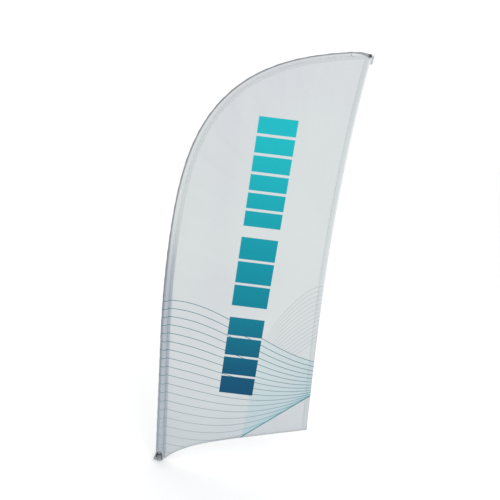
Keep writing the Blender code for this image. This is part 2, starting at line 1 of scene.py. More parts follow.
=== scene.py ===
"""Feather flag on its sprung pole: printed cloth, sewn edges, stitches and hardware.

Metres, +Z up.  The origin is the centre of the pole's foot; +X points to the
flag's free edge and the printed front faces -Y.
"""
import json
import math

import bmesh
import bpy
import numpy as np
from bpy.props import FloatProperty, FloatVectorProperty, IntProperty, PointerProperty
from mathutils import Euler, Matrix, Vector


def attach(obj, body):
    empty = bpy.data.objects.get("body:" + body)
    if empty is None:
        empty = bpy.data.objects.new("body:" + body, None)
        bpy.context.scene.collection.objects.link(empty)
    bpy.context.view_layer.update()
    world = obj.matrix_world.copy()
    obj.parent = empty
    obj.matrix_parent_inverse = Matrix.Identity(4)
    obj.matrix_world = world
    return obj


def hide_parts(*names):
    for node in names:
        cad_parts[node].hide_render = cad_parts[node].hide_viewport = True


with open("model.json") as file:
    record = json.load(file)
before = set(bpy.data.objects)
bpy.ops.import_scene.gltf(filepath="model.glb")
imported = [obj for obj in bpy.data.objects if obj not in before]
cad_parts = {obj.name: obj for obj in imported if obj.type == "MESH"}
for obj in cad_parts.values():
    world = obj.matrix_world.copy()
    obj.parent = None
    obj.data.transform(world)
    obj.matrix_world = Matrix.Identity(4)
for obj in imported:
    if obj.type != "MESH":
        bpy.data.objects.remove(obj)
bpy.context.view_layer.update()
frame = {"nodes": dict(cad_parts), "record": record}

bl_info = {
    "name": "Feather flag",
    "version": (1, 0, 0),
    "blender": (4, 5, 0),
    "location": "3D View > Sidebar > Flag",
    "description": "Builds the cloth, stitching and hardware finishes of a feather flag",
    "category": "Add Mesh",
}

FLAG_BODY = "flag_and_upper_pole"
TURN = math.tau

# ---- the part's own sizes (metres) ----------------------------------------------
GAP = 0.0003
LOWER_TUBE_R = 0.0110
STRAIGHT_LENGTH = 0.620
STIFF_BEND = 0.200
WHIP_BEND = 1.967
WHIP_BEND_AT = 1.649
WHIP_BEND_SPREAD = 0.337
TRACE_STEP = 0.005
BUTTON_AT = 0.905
POLE_LENGTH = 2.135
CORD_R = 0.0018
CORD_Z = 0.034
CORD_HALF_SPACING = 0.0020
CORD_END_Y = 0.0405
CLOTH = 0.0008
SEWN = 0.0014
SLEEVE_MOUTH_R = 0.0165
SLEEVE_BUTTON_R = 0.0125
SLEEVE_TIP_R = 0.0065
SLEEVE_END = 2.100
POCKET_END = 2.165
SEAM_WIDTH = 0.010
FREE_HEM = 0.020
BOTTOM_HEM = 0.010
CORNER_X = 0.6425
CORNER_Z = 0.226
FREE_EDGE_HOLLOW = 0.033
FREE_EDGE_SKEW = 0.8
BOTTOM_SLOPE = 0.25
BOTTOM_DROP = 0.070
BOTTOM_DROP_SPAN = 0.080
CUFF_HEIGHT = 0.075
MOUTH_CUT = 0.055
MOUTH_CUT_HALF_WIDTH = 0.0156
BINDING_HEIGHT = 0.008
TAB_WIDTH = 0.008
TAB_LENGTH = 0.036
TAB_DROP = 0.006
POCKET_OVERLAP = 0.005
TAB_THICK = 0.0012
EYELET_HOLE_R = 0.0062

# ---- how the cloth hangs (metres) -------------------------------------------------
FLAG_HEIGHT = 1.75           # height over which the flag bows out
HELD_REACH = 0.12            # the sleeve keeps the cloth flat this far out
PULL_START = 0.020           # pull folds grow over this much beside the seam
PULL_REACH = 0.16            # and then die away over this much
PULL_PITCH = 0.105
PUCKER_REACH = 0.012
RIPPLE = 0.00035             # unevenness of the sleeve round the pole
SEAM_PULL = 0.24             # how far the upper sleeve is drawn out to its seam
SEAM_PULL_FROM = 0.96        # where that begins along the pole
SEAM_PULL_OVER = 0.16
FLARE_REACH = 0.050          # height of the mouth's flare
POCKET_SHRINK = 0.3          # the pocket's narrowing towards its end
POCKET_FLATTENS = 0.75       # share of its depth the pocket loses past the pole's end
POCKET_CREASE = 0.0003
POCKET_DROOP = 0.0075        # the pocket's empty end hangs this far to the flag's side
POCKET_SLACK = 0.0030
POCKET_SIDES = 32
CORD_SIDES = 12

# ---- the stage --------------------------------------------------------------------
FLOOR_REACH = 14.0
FLOOR_Z = -0.0015
LAMP_SIZE = 2.4
LAMP_AIM = Vector((0.3, 0.0, 0.9))
CAMERA_PLACE = (0.3343, -1.8672, 1.6131)
CAMERA_ANGLES = (-0.295, 17.398, 5.129)      # yaw, pitch and roll in degrees

# ---- how finely the cloth is meshed -----------------------------------------------
PANEL_ROWS = 350
PANEL_COLUMNS = 96
SLEEVE_SIDES = 40
SLEEVE_STEP = 0.006
CUFF_SIDES = 72
CUFF_STEP = 0.0025
BAND_STEP = 0.004
TUCK = 0.0025                # how far one cloth runs in under the next
PLY = 0.0005                 # half gap between the two plies of a hem


# ---- settings -----------------------------------------------------------------------
def size_property(name, description, default, low=0.0, high=2.0):
    return FloatProperty(
        name=name, description=description, default=default, min=low, max=high, unit="LENGTH", precision=4
    )


def colour_property(name, description, default):
    return FloatVectorProperty(
        name=name, description=description, default=default, min=0.0, max=1.0, size=3, subtype="COLOR"
    )


def plain_property(name, description, default, low=0.0, high=10.0):
    return FloatProperty(name=name, description=description, default=default, min=low, max=high)


class FlagClothSettings(bpy.types.PropertyGroup):
    """Colours and folds of the cloth."""

    panel_colour: colour_property("Panel", "Unprinted cloth of the flag", (0.606, 0.648, 0.640))
    shade_colour: colour_property("Panel shade", "Cloth in its duller patches", (0.578, 0.602, 0.626))
    # Painted shade: cloth colour for the darkening towards the bottom edge, where less light reaches.
    low_shade_colour: colour_property("Panel, low", "Cloth colour near the bottom edge", (0.470, 0.515, 0.555))
    # Painted shade: colour of the sleeve and seam low down, darkened to stand in for shade.
    sleeve_shade_colour: colour_property("Sleeve", "Cloth of the sleeve, low down", (0.435, 0.480, 0.535))
    # Painted shade: dark colour along the sleeve's outer edge.
    edge_shade_colour: colour_property("Sleeve edge", "Outer edge of the pole sleeve", (0.175, 0.185, 0.205))
    hem_colour: colour_property("Hem", "Folded cloth along the edges", (0.590, 0.625, 0.635))
    # Painted highlight: the paler outermost fold of the hems.
    rim_highlight_colour: colour_property("Hem rim", "Outermost fold of the hems", (0.650, 0.675, 0.690))
    # Partly painted shade: the tape's own tone, darkened to match the painted shade of the sleeve low
    # down.
    mouth_tone_and_shade: colour_property("Mouth tape", "Binding round the sleeve's mouth", (0.430, 0.460, 0.490))
    pocket_colour: colour_property("Pocket", "Reinforcement cloth at the tip", (0.190, 0.200, 0.220))
    tape_colour: colour_property("Tape", "Tape tab at the tip", (0.600, 0.620, 0.650))
    billow: size_property("Billow", "How far the middle of the flag bows out", 0.0060, 0.0, 0.02)
    fold: size_property("Folds", "Height of the pull folds beside the sleeve", 0.0016, 0.0, 0.01)
    pucker: size_property("Pucker", "Height of the small waves along the stitching", 0.0004, 0.0, 0.003)
    flare: size_property("Mouth flare", "How far the sleeve's mouth spreads", 0.0100, 0.0, 0.02)


class FlagPrintSettings(bpy.types.PropertyGroup):
    """The printed pattern."""

    line_count: IntProperty(name="Lines", description="Flowing lines", default=19, min=1, max=40)
    line_width: size_property("Line width", "Width of a flowing line", 0.0027, 0.0, 0.02)
    fan_width: size_property("Fan line width", "Width of a line in the pale fan", 0.0024, 0.0, 0.02)
    teal: colour_property("Line", "Flowing lines where they are darkest", (0.010, 0.150, 0.190))
    grey: colour_property("Faded line", "Flowing lines near the bottom", (0.230, 0.300, 0.350))
    lilac: colour_property("Fan line", "Lines of the pale fan", (0.360, 0.375, 0.440))
    wedge: colour_property("Wedge", "Tint behind the lines at the free edge", (0.290, 0.520, 0.575))
    block_top: colour_property("Blocks, top", "Printed blocks at the top", (0.012, 0.440, 0.490))
    block_middle: colour_property("Blocks, middle", "Printed blocks half way", (0.004, 0.245, 0.320))
    block_foot: colour_property("Blocks, foot", "Printed blocks at the bottom", (0.004, 0.070, 0.150))
    block_reach: size_property("Block height", "Size of a block across the column", 0.144, 0.01, 0.5)


class FlagStitchSettings(bpy.types.PropertyGroup):
    """Sewing thread."""

    pitch: size_property("Pitch", "Distance from one stitch to the next", 0.0032, 0.0005, 0.02)
    length: size_property("Length", "Length of one stitch", 0.0026, 0.0005, 0.02)
    thread: size_property("Thread", "Thickness of the thread", 0.00045, 0.0001, 0.003)
    seed: IntProperty(name="Seed", description="Start of the small differences", default=7, min=0)


class FlagStageSettings(bpy.types.PropertyGroup):
    """Floor, light and camera."""

    sky: plain_property("Surrounding light", "Strength of the even light from all round", 1.04)
    key: plain_property("Key light", "Power of the large soft lamp in watts", 30.0, 0.0, 500.0)
    fill: plain_property("Fill light", "Power of the second lamp in watts", 10.0, 0.0, 500.0)
    floor: colour_property("Floor", "Plain pale floor", (0.97, 0.97, 0.97))


# ---- the line of the pole ---------------------------------------------------------
def bend(s):
    if s < STRAIGHT_LENGTH:
        return 0.0
    return STIFF_BEND + WHIP_BEND * math.exp(-(((s - WHIP_BEND_AT) / WHIP_BEND_SPREAD) ** 2))


def trace_pole():
    """(distance, x, z, lean) at equal steps along the pole's centreline."""
    x, z, lean = 0.0, 0.0, 0.0
    line = [(0.0, x, z, lean)]
    for k in range(int(POCKET_END / TRACE_STEP) + 12):
        next_lean = lean + TRACE_STEP * bend((k + 0.5) * TRACE_STEP)
        middle = 0.5 * (lean + next_lean)
        x += TRACE_STEP * math.sin(middle)
        z += TRACE_STEP * math.cos(middle)
        lean = next_lean
        line.append(((k + 1) * TRACE_STEP, x, z, lean))
    return np.array(line)


POLE_LINE = trace_pole()


def pole_at(s):
    """x, z and lean of the centreline at distances s from the foot."""
    s = np.asarray(s, float)
    x, z, lean = (np.interp(s, POLE_LINE[:, 0], POLE_LINE[:, k]) for k in (1, 2, 3))
    return x, z + np.minimum(s, 0.0), lean


def beside_pole(s, offset):
    """x and z of points beside the centreline, on the flag's side of it."""
    x, z, lean = pole_at(s)
    return x + offset * np.cos(lean), z - offset * np.sin(lean)


def from_pole(x, z):
    """How far along the pole points are, and how far out from its centreline."""
    coarse = POLE_LINE[::2]
    along = np.empty(len(x))
    out = np.empty(len(x))
    for start in range(0, len(x), 4096):
        part = slice(start, start + 4096)
        dx = x[part, None] - coarse[None, :, 1]
        dz = z[part, None] - coarse[None, :, 2]
        near = np.argmin(dx * dx + dz * dz, axis=1)
        rows = np.arange(len(near))
        dx, dz = dx[rows, near], dz[rows, near]
        lean = coarse[near, 3]
        along[part] = coarse[near, 0] + dx * np.sin(lean) + dz * np.cos(lean)
        out[part] = dx * np.cos(lean) - dz * np.sin(lean)
    return along, out


# ---- cloth outline ----------------------------------------------------------------
def sleeve_radius(s):
    """The sleeve narrows from its mouth to the snap button, then on to the tip."""
    radii = (SLEEVE_MOUTH_R, SLEEVE_BUTTON_R, SLEEVE_TIP_R)
    return np.interp(s, (0.0, BUTTON_AT, POCKET_END), radii)


def seam_inner(s):
    return sleeve_radius(s) + GAP


def seam_outer(s):
    return seam_inner(s) + SEAM_WIDTH


def tip_corner():
    return beside_pole(POCKET_END, seam_outer(POCKET_END) + GAP)


def free_edge_x(z):
    """The hollow free edge, from the tip corner down to the lower corner."""
    tip_x, tip_z = tip_corner()
    down = np.clip((tip_z - z) / (tip_z - CORNER_Z), 0.0, 1.0)
    chord = tip_x + (CORNER_X - tip_x) * down
    return chord - FREE_EDGE_HOLLOW * np.sin(math.pi * down ** FREE_EDGE_SKEW)


def bottom_edge_z(x):
    """The bottom edge: a plain slope that falls away near the sleeve."""
    fall = np.exp(-(np.asarray(x) - SLEEVE_MOUTH_R) / BOTTOM_DROP_SPAN)
    return CORNER_Z - BOTTOM_SLOPE * (CORNER_X - x) - BOTTOM_DROP * fall


def seam_end(inset):
    """Distance along the pole where the seam meets a line inside the free edge."""
    low, high = STRAIGHT_LENGTH, POCKET_END + 8.0 * TRACE_STEP
    for _ in range(40):
        middle = 0.5 * (low + high)
        x, z = beside_pole(middle, seam_outer(middle) + GAP)
        if x < free_edge_x(z) - inset:
            low = middle
        else:
            high = middle
    return 0.5 * (low + high)


def free_edge_line(inset, count):
    """Points down the free edge, moved in by inset, from the seam to the bottom hem."""
    end = seam_end(inset)
    _, high = beside_pole(end, seam_outer(end) + GAP)
    low = bottom_edge_z(CORNER_X - inset) + BOTTOM_HEM + GAP
    z = np.linspace(high, low, count)
    return np.stack([free_edge_x(z) - inset, z], axis=1)


def ease(t):
    """0 to 1 with a soft start and end."""
    t = np.clip(t, 0.0, 1.0)
    return t * t * (3.0 - 2.0 * t)


def puckering(run, pitch, drift, sway, off):
    """Small waves along a stitched line, dying away with the distance off it."""
    wave = np.sin(TURN * run / pitch + sway * np.sin(TURN * run / drift))
    return wave * np.exp(-((off / PUCKER_REACH) ** 2))


def cloth_y(x, z, cloth):
    """How far the flag's middle surface stands behind the flat at each point."""
    x, z = np.asarray(x, float), np.asarray(z, float)
    along, out = from_pole(x, z)
    out = out - seam_outer(along)
    held = ease(out / HELD_REACH)
    rise, across = z / FLAG_HEIGHT, x / CORNER_X
    bow = np.sin(math.pi * np.clip(rise, 0.0, 1.0)) * np.sin(math.pi * np.clip(across, 0.0, 1.15))
    sway = np.sin(2.3 * math.pi * rise + 0.6) * across
    billow = cloth.billow * held * (0.8 * bow + 0.35 * sway)
    near = ease(out / PULL_START) * np.exp(-out / PULL_REACH)
    phase = TURN * (along / PULL_PITCH + 3.0 * out)
    pulls = np.sin(phase) + 0.6 * np.sin(0.618 * phase + 1.3) + 0.4 * np.sin(1.9 * phase + 0.4)
    folds = cloth.fold * near * pulls * (0.35 + 0.65 * ease((along - 0.6) / 0.8))
    waves = puckering(z, 0.021, 0.13, 1.7, free_edge_x(z) - x - FREE_HEM)
    waves += puckering(x, 0.024, 0.15, 1.3, z - bottom_edge_z(x) - BOTTOM_HEM)
    return billow + folds + cloth.pucker * held * waves


# ---- the printed pattern as fields on the cloth -------------------------------------
SWEEP_RIGHT_Z = 0.395        # where the sweep's lower boundary meets the hem
SWEEP_SLOPE = 0.867
PRINT_RIM = 0.0105           # the boundary is measured from this far inside the corner
FLOW_RANGE = (-0.3, 40.0)    # line numbers that may be drawn
FAN_LINES = 11.0             # spaces between the fan's top and foot
FAN_RANGE = (-0.3, 13.4)
FAN_TOP_Z = 0.905
FAN_FOOT_Z = 0.728
WEDGE_X = 0.344              # the tint's left side where it would meet the ground
WEDGE_LEAN = 0.100
BLOCK_ROWS = ((0.374, 0.732, 4), (0.784, 1.076, 3), (1.121, 1.534, 6))   # foot, top, count
BLOCK_GAP = 0.010
BLOCK_LINE = (0.0591, 0.2960)    # lean and foot of the line the blocks climb
BLOCK_SKEW = 0.03
SOFT_EDGE = 0.0006
DOT_SCALE = 150.0
# z of flowing line k at x is the sum of each row's polynomial in x times k to the
# power of the row, with a last term that dies away from the sleeve.
FLOW_ROWS = (
    ((0.7869, 0.1015, -1.7536, 1.6428), -0.0045),
    ((-0.0361, -0.0380, 0.1670, -0.1176), 0.0014),
    ((-0.00015, 0.0, 0.00218), -0.00020),
)
FLOW_NEAR = 0.09


def flow_terms(x):
    """The three terms of the flowing lines at x: first, step and spread."""
    near = np.exp(-np.abs(x) / FLOW_NEAR)
    return [sum(c * x ** n for n, c in enumerate(row)) + end * near for row, end in FLOW_ROWS]


def flow_index(x, z):
    """Which flowing line a point is on; whole numbers are the lines."""
    first, step, spread = flow_terms(np.maximum(x, -0.02))
    rest = first - z
    under_root = np.maximum(step * step - 4.0 * spread * rest, 0.0)
    return 2.0 * rest / (np.sqrt(under_root) - step)


def fan_index(x, z):
    """Which line of the pale fan a point is on."""
    back = np.maximum(0.66 - x, 0.0)
    top = FAN_TOP_Z - 3.1 * np.maximum(0.625 - x, 0.0) ** 1.6
    foot = FAN_FOOT_Z - 0.85 * back - 0.6 * back ** 2
    return FAN_LINES * (top - z) / np.maximum(top - foot, 0.02)


def sweep_edge_z(x):
    """The dense lower boundary of the flowing lines."""
    return SWEEP_RIGHT_Z - SWEEP_SLOPE * (CORNER_X - PRINT_RIM - x)


def print_fields(x, z):
    """The values that the print's material reads at each point."""
    step = 0.0005
    fields = {}
    for name, index in (("flow", flow_index), ("fan", fan_index)):
        value = index(x, z)
        slope_x = (index(x + step, z) - index(x - step, z)) / (2.0 * step)
        slope_z = (index(x, z + step) - index(x, z - step)) / (2.0 * step)
        fields[name] = value
        fields[name + "_gap"] = 1.0 / np.maximum(np.hypot(slope_x, slope_z), 1.0)
    fields["sweep"] = (z - sweep_edge_z(x)) / math.hypot(1.0, SWEEP_SLOPE)
    fields["wedge"] = x - WEDGE_X - WEDGE_LEAN * z
    return fields


# ---- mesh helpers -----------------------------------------------------------------
def mesh_object(name, points, faces, finish, fields=None, outwards=True):
    """A mesh in its own object, smooth, with its fields as point attributes."""
    mesh = bpy.data.meshes.new(name)
    mesh.from_pydata([tuple(p) for p in points], [], faces)
    for field, values in (fields or {}).items():
        made = mesh.attributes.new(field, "FLOAT", "POINT")
        made.data.foreach_set("value", np.asarray(values, np.float32))
    if outwards:
        point_outwards(mesh)
    mesh.shade_smooth()
    if finish is not None:
        mesh.materials.append(finish)
    made = bpy.data.objects.new(name, mesh)
    bpy.context.scene.collection.objects.link(made)
    return made


def point_outwards(mesh):
    work = bmesh.new()
    work.from_mesh(mesh)
    bmesh.ops.recalc_face_normals(work, faces=work.faces)
    work.to_mesh(mesh)
    work.free()


def grid_faces(rows, columns, wrap=False):
    """Quads between rows of points; wrap joins each row's last point to its first."""
    faces = []
    for r in range(rows - 1):
        for c in range(columns if wrap else columns - 1):
            after = (c + 1) % columns
            here, above = r * columns, (r + 1) * columns
            faces.append((here + c, here + after, above + after, above + c))
    return faces


def closed_faces(rows, columns):
    """A tube's faces with both its ends."""
    last = (rows - 1) * columns
    ends = [tuple(range(columns)), tuple(range(last, last + columns))]
    return grid_faces(rows, columns, wrap=True) + ends


def settle(made):
    """Apply an object's modifiers to its mesh."""
    depsgraph = bpy.context.evaluated_depsgraph_get()
    finished = bpy.data.meshes.new_from_object(made.evaluated_get(depsgraph), depsgraph=depsgraph)
    made.modifiers.clear()
    old = made.data
    made.data = finished
    bpy.data.meshes.remove(old)
    return made


def give_thickness(made, thickness, offset):
    solid = made.modifiers.new("wall", "SOLIDIFY")
    solid.thickness = thickness
    solid.offset = offset
    solid.use_even_offset = False
    return settle(made)


def band(name, spine, mouth, section, surface, finish, run=None):
    """A closed band of cloth: section's (metres from the spine, y) outline swept along."""
    spine, mouth = np.asarray(spine), np.asarray(mouth)
    across = mouth - spine
    width = np.hypot(across[:, 0], across[:, 1])
    across = across / width[:, None]
    outline = section(width)
    rows, columns = len(spine), outline.shape[1]
    x = spine[:, None, 0] + across[:, None, 0] * outline[:, :, 0]
    z = spine[:, None, 1] + across[:, None, 1] * outline[:, :, 0]
    y = outline[:, :, 1] + surface(x.ravel(), z.ravel()).reshape(x.shape)
    points = np.stack([x, y, z], axis=-1).reshape(-1, 3)
    faces = closed_faces(rows, columns)
    fields = print_fields(x.ravel(), z.ravel())
    fields["depth"] = outline[:, :, 0].ravel()
    if run is not None:
        fields["run"] = np.repeat(run, columns)
    return mesh_object(name, points, faces, finish, fields)


def hem_section(width, half, puff):
    """Outline of a folded hem, open at the mouth for the cloth that runs into it."""
    steps = 9
    front = [(k / steps, half + puff * math.sin(math.pi * k / steps) ** 0.7) for k in range(steps + 1)]
    outline = []
    for w in width:
        here = [(0.0, 0.0), (0.3 * half, -0.75 * half)]
        here += [(half + share * (w - half), -h) for share, h in front]
        here += [(w, -PLY), (w - 1.4 * TUCK, -PLY), (w - 1.4 * TUCK, PLY), (w, PLY)]
        here += [(half + share * (w - half), h) for share, h in reversed(front)]
        here += [(0.3 * half, 0.75 * half)]
        outline.append(here)
    return np.array(outline)


def strip_section(width, half):
    """Outline of a flat tape with rounded edges."""
    outline = []
    for w in width:
        left, right = 0.6 * half, w - 0.6 * half
        here = [(0.0, 0.0), (0.2 * half, -0.7 * half), (left, -half), (0.5 * w, -half), (right, -half)]
        here += [(w - 0.2 * half, -0.7 * half), (w, 0.0), (w - 0.2 * half, 0.7 * half), (right, half)]
        here += [(0.5 * w, half), (left, half), (0.2 * half, 0.7 * half)]
        outline.append(here)
    return np.array(outline)


def place_on_flag(made, nodes=()):
    """Ride a cloth piece on the flag's body, in place of CAD nodes."""
    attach(made, FLAG_BODY)
    if nodes:
        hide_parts(*nodes)


# ---- materials --------------------------------------------------------------------
class Finish:
    """Builds one material's nodes round its shader."""

    def __init__(self, name, roughness=0.5, metallic=0.0, **shader_values):
        self.material = bpy.data.materials.new(name)
        self.material.use_nodes = True
        self.tree = self.material.node_tree
        self.shader = self.tree.nodes["Principled BSDF"]
        self.shader.inputs["Roughness"].default_value = roughness
        self.shader.inputs["Metallic"].default_value = metallic
        for socket, value in shader_values.items():
            self.shader.inputs[socket.replace("_", " ")].default_value = value
        self.place = None

    def node(self, kind, **settings):
        made = self.tree.nodes.new(kind)
        for key, value in settings.items():
            setattr(made, key, value)
        return made

    def feed(self, socket, value):
        if isinstance(value, bpy.types.NodeSocket):
            self.tree.links.new(value, socket)
        elif socket.type == "RGBA":
            socket.default_value = (*value, 1.0)
        else:
            socket.default_value = value

    def where(self, scale=(1.0, 1.0, 1.0), turn=(0.0, 0.0, 0.0)):
        """Object coordinates, stretched and turned."""
        if self.place is None:
            self.place = self.node("ShaderNodeTexCoord").outputs["Object"]
        mapping = self.node("ShaderNodeMapping")
        self.feed(mapping.inputs["Vector"], self.place)
        mapping.inputs["Scale"].default_value = scale
        mapping.inputs["Rotation"].default_value = turn
        return mapping.outputs["Vector"]

    def axes(self):
        """The object's X and Z at each point."""
        split = self.node("ShaderNodeSeparateXYZ")
        self.feed(split.inputs[0], self.where())
        return split.outputs["X"], split.outputs["Z"]

    def field(self, name):
        return self.node("ShaderNodeAttribute", attribute_name=name).outputs["Fac"]

    def math(self, operation, *values):
        made = self.node("ShaderNodeMath", operation=operation)
        for socket, value in zip(made.inputs, values):
            self.feed(socket, value)
        return made.outputs[0]

    def times(self, first, *others):
        for other in others:
            first = self.math("MULTIPLY", first, other)
        return first

    def plus(self, first, second):
        return self.math("ADD", first, second)

    def fade(self, value, low, high, to_low=0.0, to_high=1.0):
        """Smooth step of value from low to high."""
        made = self.node("ShaderNodeMapRange", interpolation_type="SMOOTHSTEP")
        for socket, given in zip(made.inputs, (value, low, high, to_low, to_high)):
            self.feed(socket, given)
        return made.outputs[0]

    def mix(self, share, first, second, blend="MIX"):
        made = self.node("ShaderNodeMix", data_type="RGBA", blend_type=blend)
        self.feed(made.inputs["Factor"], share)
        self.feed(made.inputs[6], first)
        self.feed(made.inputs[7], second)
        return made.outputs[2]

    def noise(self, scale, detail=2.0, roughness=0.5, vector=None):
        made = self.node("ShaderNodeTexNoise")
        self.feed(made.inputs["Vector"], vector if vector is not None else self.where())
        made.inputs["Scale"].default_value = scale
        made.inputs["Detail"].default_value = detail
        made.inputs["Roughness"].default_value = roughness
        return made.outputs["Fac"]

    def bands(self, period, direction):
        """Rounded ribs across one object axis, 0 to 1."""
        made = self.node("ShaderNodeTexWave", bands_direction=direction)
        self.feed(made.inputs["Vector"], self.where())
        made.inputs["Scale"].default_value = 1.0 / (period * 20.0) * TURN
        return made.outputs["Fac"]

    def bump(self, height, distance, strength=1.0):
        made = self.node("ShaderNodeBump")
        self.feed(made.inputs["Height"], height)
        made.inputs["Distance"].default_value = distance
        made.inputs["Strength"].default_value = strength
        last = self.shader.inputs["Normal"]
        if last.is_linked:
            self.tree.links.new(last.links[0].from_socket, made.inputs["Normal"])
        self.tree.links.new(made.outputs["Normal"], last)

    def colour(self, value):
        self.feed(self.shader.inputs["Base Color"], value)

    def rough(self, low, high, pattern):
        self.feed(self.shader.inputs["Roughness"], self.fade(pattern, 0.25, 0.75, low, high))


def shaded(colour, share):
    return tuple(share * c for c in colour)


def cloth_finish(name, roughness, sheen, spread, shine):
    """A cloth's shader: its sheen, how far that spreads, and its shine."""
    return Finish(name, roughness, Sheen_Weight=sheen, Sheen_Roughness=spread, Specular_IOR_Level=shine)


def cloth_surface(finish, low, high, patches, ribs, folds):
    """A cloth's roughness, weave and the marks of handling."""
    finish.rough(low, high, finish.noise(patches))
    weave(finish, *ribs)
    crumple(finish, *folds)
    return finish.material


def weave(finish, period, depth):
    """Fine over-and-under ribs of woven or knitted cloth, as bump."""
    across = finish.bands(period, "X")
    up = finish.bands(period, "Z")
    ribs = finish.times(across, up)
    slubs = finish.noise(900.0, 2.0)
    finish.bump(finish.plus(ribs, finish.times(slubs, 0.5)), depth, 0.6)


def crumple(finish, scale, depth):
    """Soft unevenness left by handling, too small for the mesh."""
    finish.bump(finish.noise(scale, 3.0, 0.55, finish.where((1.0, 1.0, 0.45))), depth, 0.5)


def line_mask(finish, field, width):
    """1 on the lines of a field, 0 between them."""
    index = finish.field(field)
    whole = finish.math("FRACT", finish.plus(index, 0.5))
    off = finish.math("ABSOLUTE", finish.math("SUBTRACT", whole, 0.5))
    away = finish.times(off, finish.field(field + "_gap"))
    return finish.fade(away, 0.30 * width, 0.70 * width, 1.0, 0.0), index


def inside(finish, value, low, high, soft):
    """1 where value is between low and high, with soft ends."""
    above = finish.fade(value, low - soft, low + soft)
    below = finish.fade(value, high - soft, high + soft, 1.0, 0.0)
    return finish.times(above, below)


def printed(finish, ground, pattern):
    """The flowing lines, tint and pale fan over the ground colour."""
    x, z = finish.axes()
    over_edge = finish.field("sweep")
    right = finish.field("wedge")
    index = finish.field("flow")

    among = inside(finish, index, *FLOW_RANGE, 0.05)
    among = finish.times(among, finish.fade(over_edge, -0.001, 0.001))
    under_first = finish.times(among, finish.fade(index, 0.0, 0.12))
    left_soft = finish.fade(z, 0.20, 0.60, 0.006, 0.050)
    left_end = finish.fade(right, finish.times(left_soft, -1.0), left_soft)
    reach = finish.times(under_first, left_end)
    deep = finish.fade(over_edge, 0.030, 0.0, 0.0, 0.7)
    deep = finish.plus(deep, finish.fade(x, 0.52, 0.64, 0.0, 0.25))
    dots = finish.node("ShaderNodeTexVoronoi", feature="F1")
    finish.feed(dots.inputs["Vector"], finish.where((1.0, 0.0, 1.0), (0.0, 0.8, 0.0)))
    dots.inputs["Scale"].default_value = DOT_SCALE
    dots.inputs["Randomness"].default_value = 0.0
    dotted = finish.fade(dots.outputs["Distance"], 0.28, 0.42, 1.0, 0.35)
    depth = finish.plus(finish.fade(z, 0.58, 0.30, 0.28, 0.54), deep)
    tint = finish.times(reach, dotted, depth)
    ground = finish.mix(tint, ground, pattern.wedge)

    fan, fan_index_here = line_mask(finish, "fan", pattern.fan_width)
    kept = inside(finish, fan_index_here, *FAN_RANGE, 0.1)
    above_first = finish.fade(index, 0.10, -0.15)
    fan = finish.times(fan, kept, above_first, finish.fade(right, -0.02, 0.08, 0.0, 0.60))
    ground = finish.mix(fan, ground, pattern.lilac)

    lines, _ = line_mask(finish, "flow", pattern.line_width)
    last = pattern.line_count + 0.5
    counted = finish.fade(index, last, last + 0.2, 1.0, 0.0)
    lines = finish.times(lines, among, counted, finish.fade(z, 0.05, 0.62, 0.75, 0.95))
    tone = finish.mix(finish.fade(z, 0.10, 0.60), pattern.grey, pattern.teal)
    ground = finish.mix(lines, ground, tone)

    edge = inside(finish, over_edge, -0.0022, 0.0022, 0.0010)
    edge = finish.times(edge, finish.fade(x, 0.30, 0.36, 0.0, 0.85))
    return finish.mix(edge, ground, pattern.teal)


def blocks(finish, ground, pattern):
    """Three rows of plain printed blocks that climb the middle of the flag."""
    x, z = finish.axes()
    across = finish.math("SUBTRACT", x, finish.math("MULTIPLY_ADD", z, *BLOCK_LINE))
    along = finish.math("MULTIPLY_ADD", across, BLOCK_SKEW, z)
    half = 0.5 * pattern.block_reach
    wide = inside(finish, across, -half, half, SOFT_EDGE)
    total = None
    for start, end, count in BLOCK_ROWS:
        pitch = (end - start + BLOCK_GAP) / count
        share = finish.math("FRACT", finish.math("DIVIDE", finish.math("SUBTRACT", along, start), pitch))
        filled = inside(finish, share, 0.0, 1.0 - BLOCK_GAP / pitch, SOFT_EDGE / pitch)
        in_row = inside(finish, along, start - 0.002, end + 0.002, SOFT_EDGE)
        here = finish.times(filled, in_row)
        total = here if total is None else finish.math("MAXIMUM", total, here)
    mask = finish.times(total, wide)
    lower = finish.mix(finish.fade(z, 0.35, 1.00), pattern.block_foot, pattern.block_middle)
    ink = finish.mix(finish.fade(z, 0.85, 1.55), lower, pattern.block_top)
    return finish.mix(mask, ground, ink)


def cloth_ground(finish, light, dark):
    """Cloth colour with faint broad patches and fine thread-to-thread variation."""
    patches = finish.noise(3.0, 2.0, 0.5, finish.where((1.0, 1.0, 0.5)))
    ground = finish.mix(finish.fade(patches, 0.30, 0.70), light, dark)
    threads = finish.noise(700.0, 1.0)
    return finish.mix(finish.fade(threads, 0.3, 0.7, 0.0, 0.10), ground, dark)


def lower_down(finish, ground, cloth):
    """Dulls cloth towards the bottom edge, where less light reaches it."""
    _, z = finish.axes()
    return finish.mix(finish.fade(z, 0.50, 0.04, 0.0, 0.55), ground, cloth.low_shade_colour)


def panel_cloth(cloth, pattern):
    finish = cloth_finish("printed_knit", 0.66, 0.06, 0.4, 0.10)
    ground = cloth_ground(finish, cloth.panel_colour, cloth.shade_colour)
    ground = lower_down(finish, ground, cloth)
    finish.colour(blocks(finish, printed(finish, ground, pattern), pattern))
    return cloth_surface(finish, 0.56, 0.70, 60.0, (0.0009, 0.00012), (38.0, 0.0010))


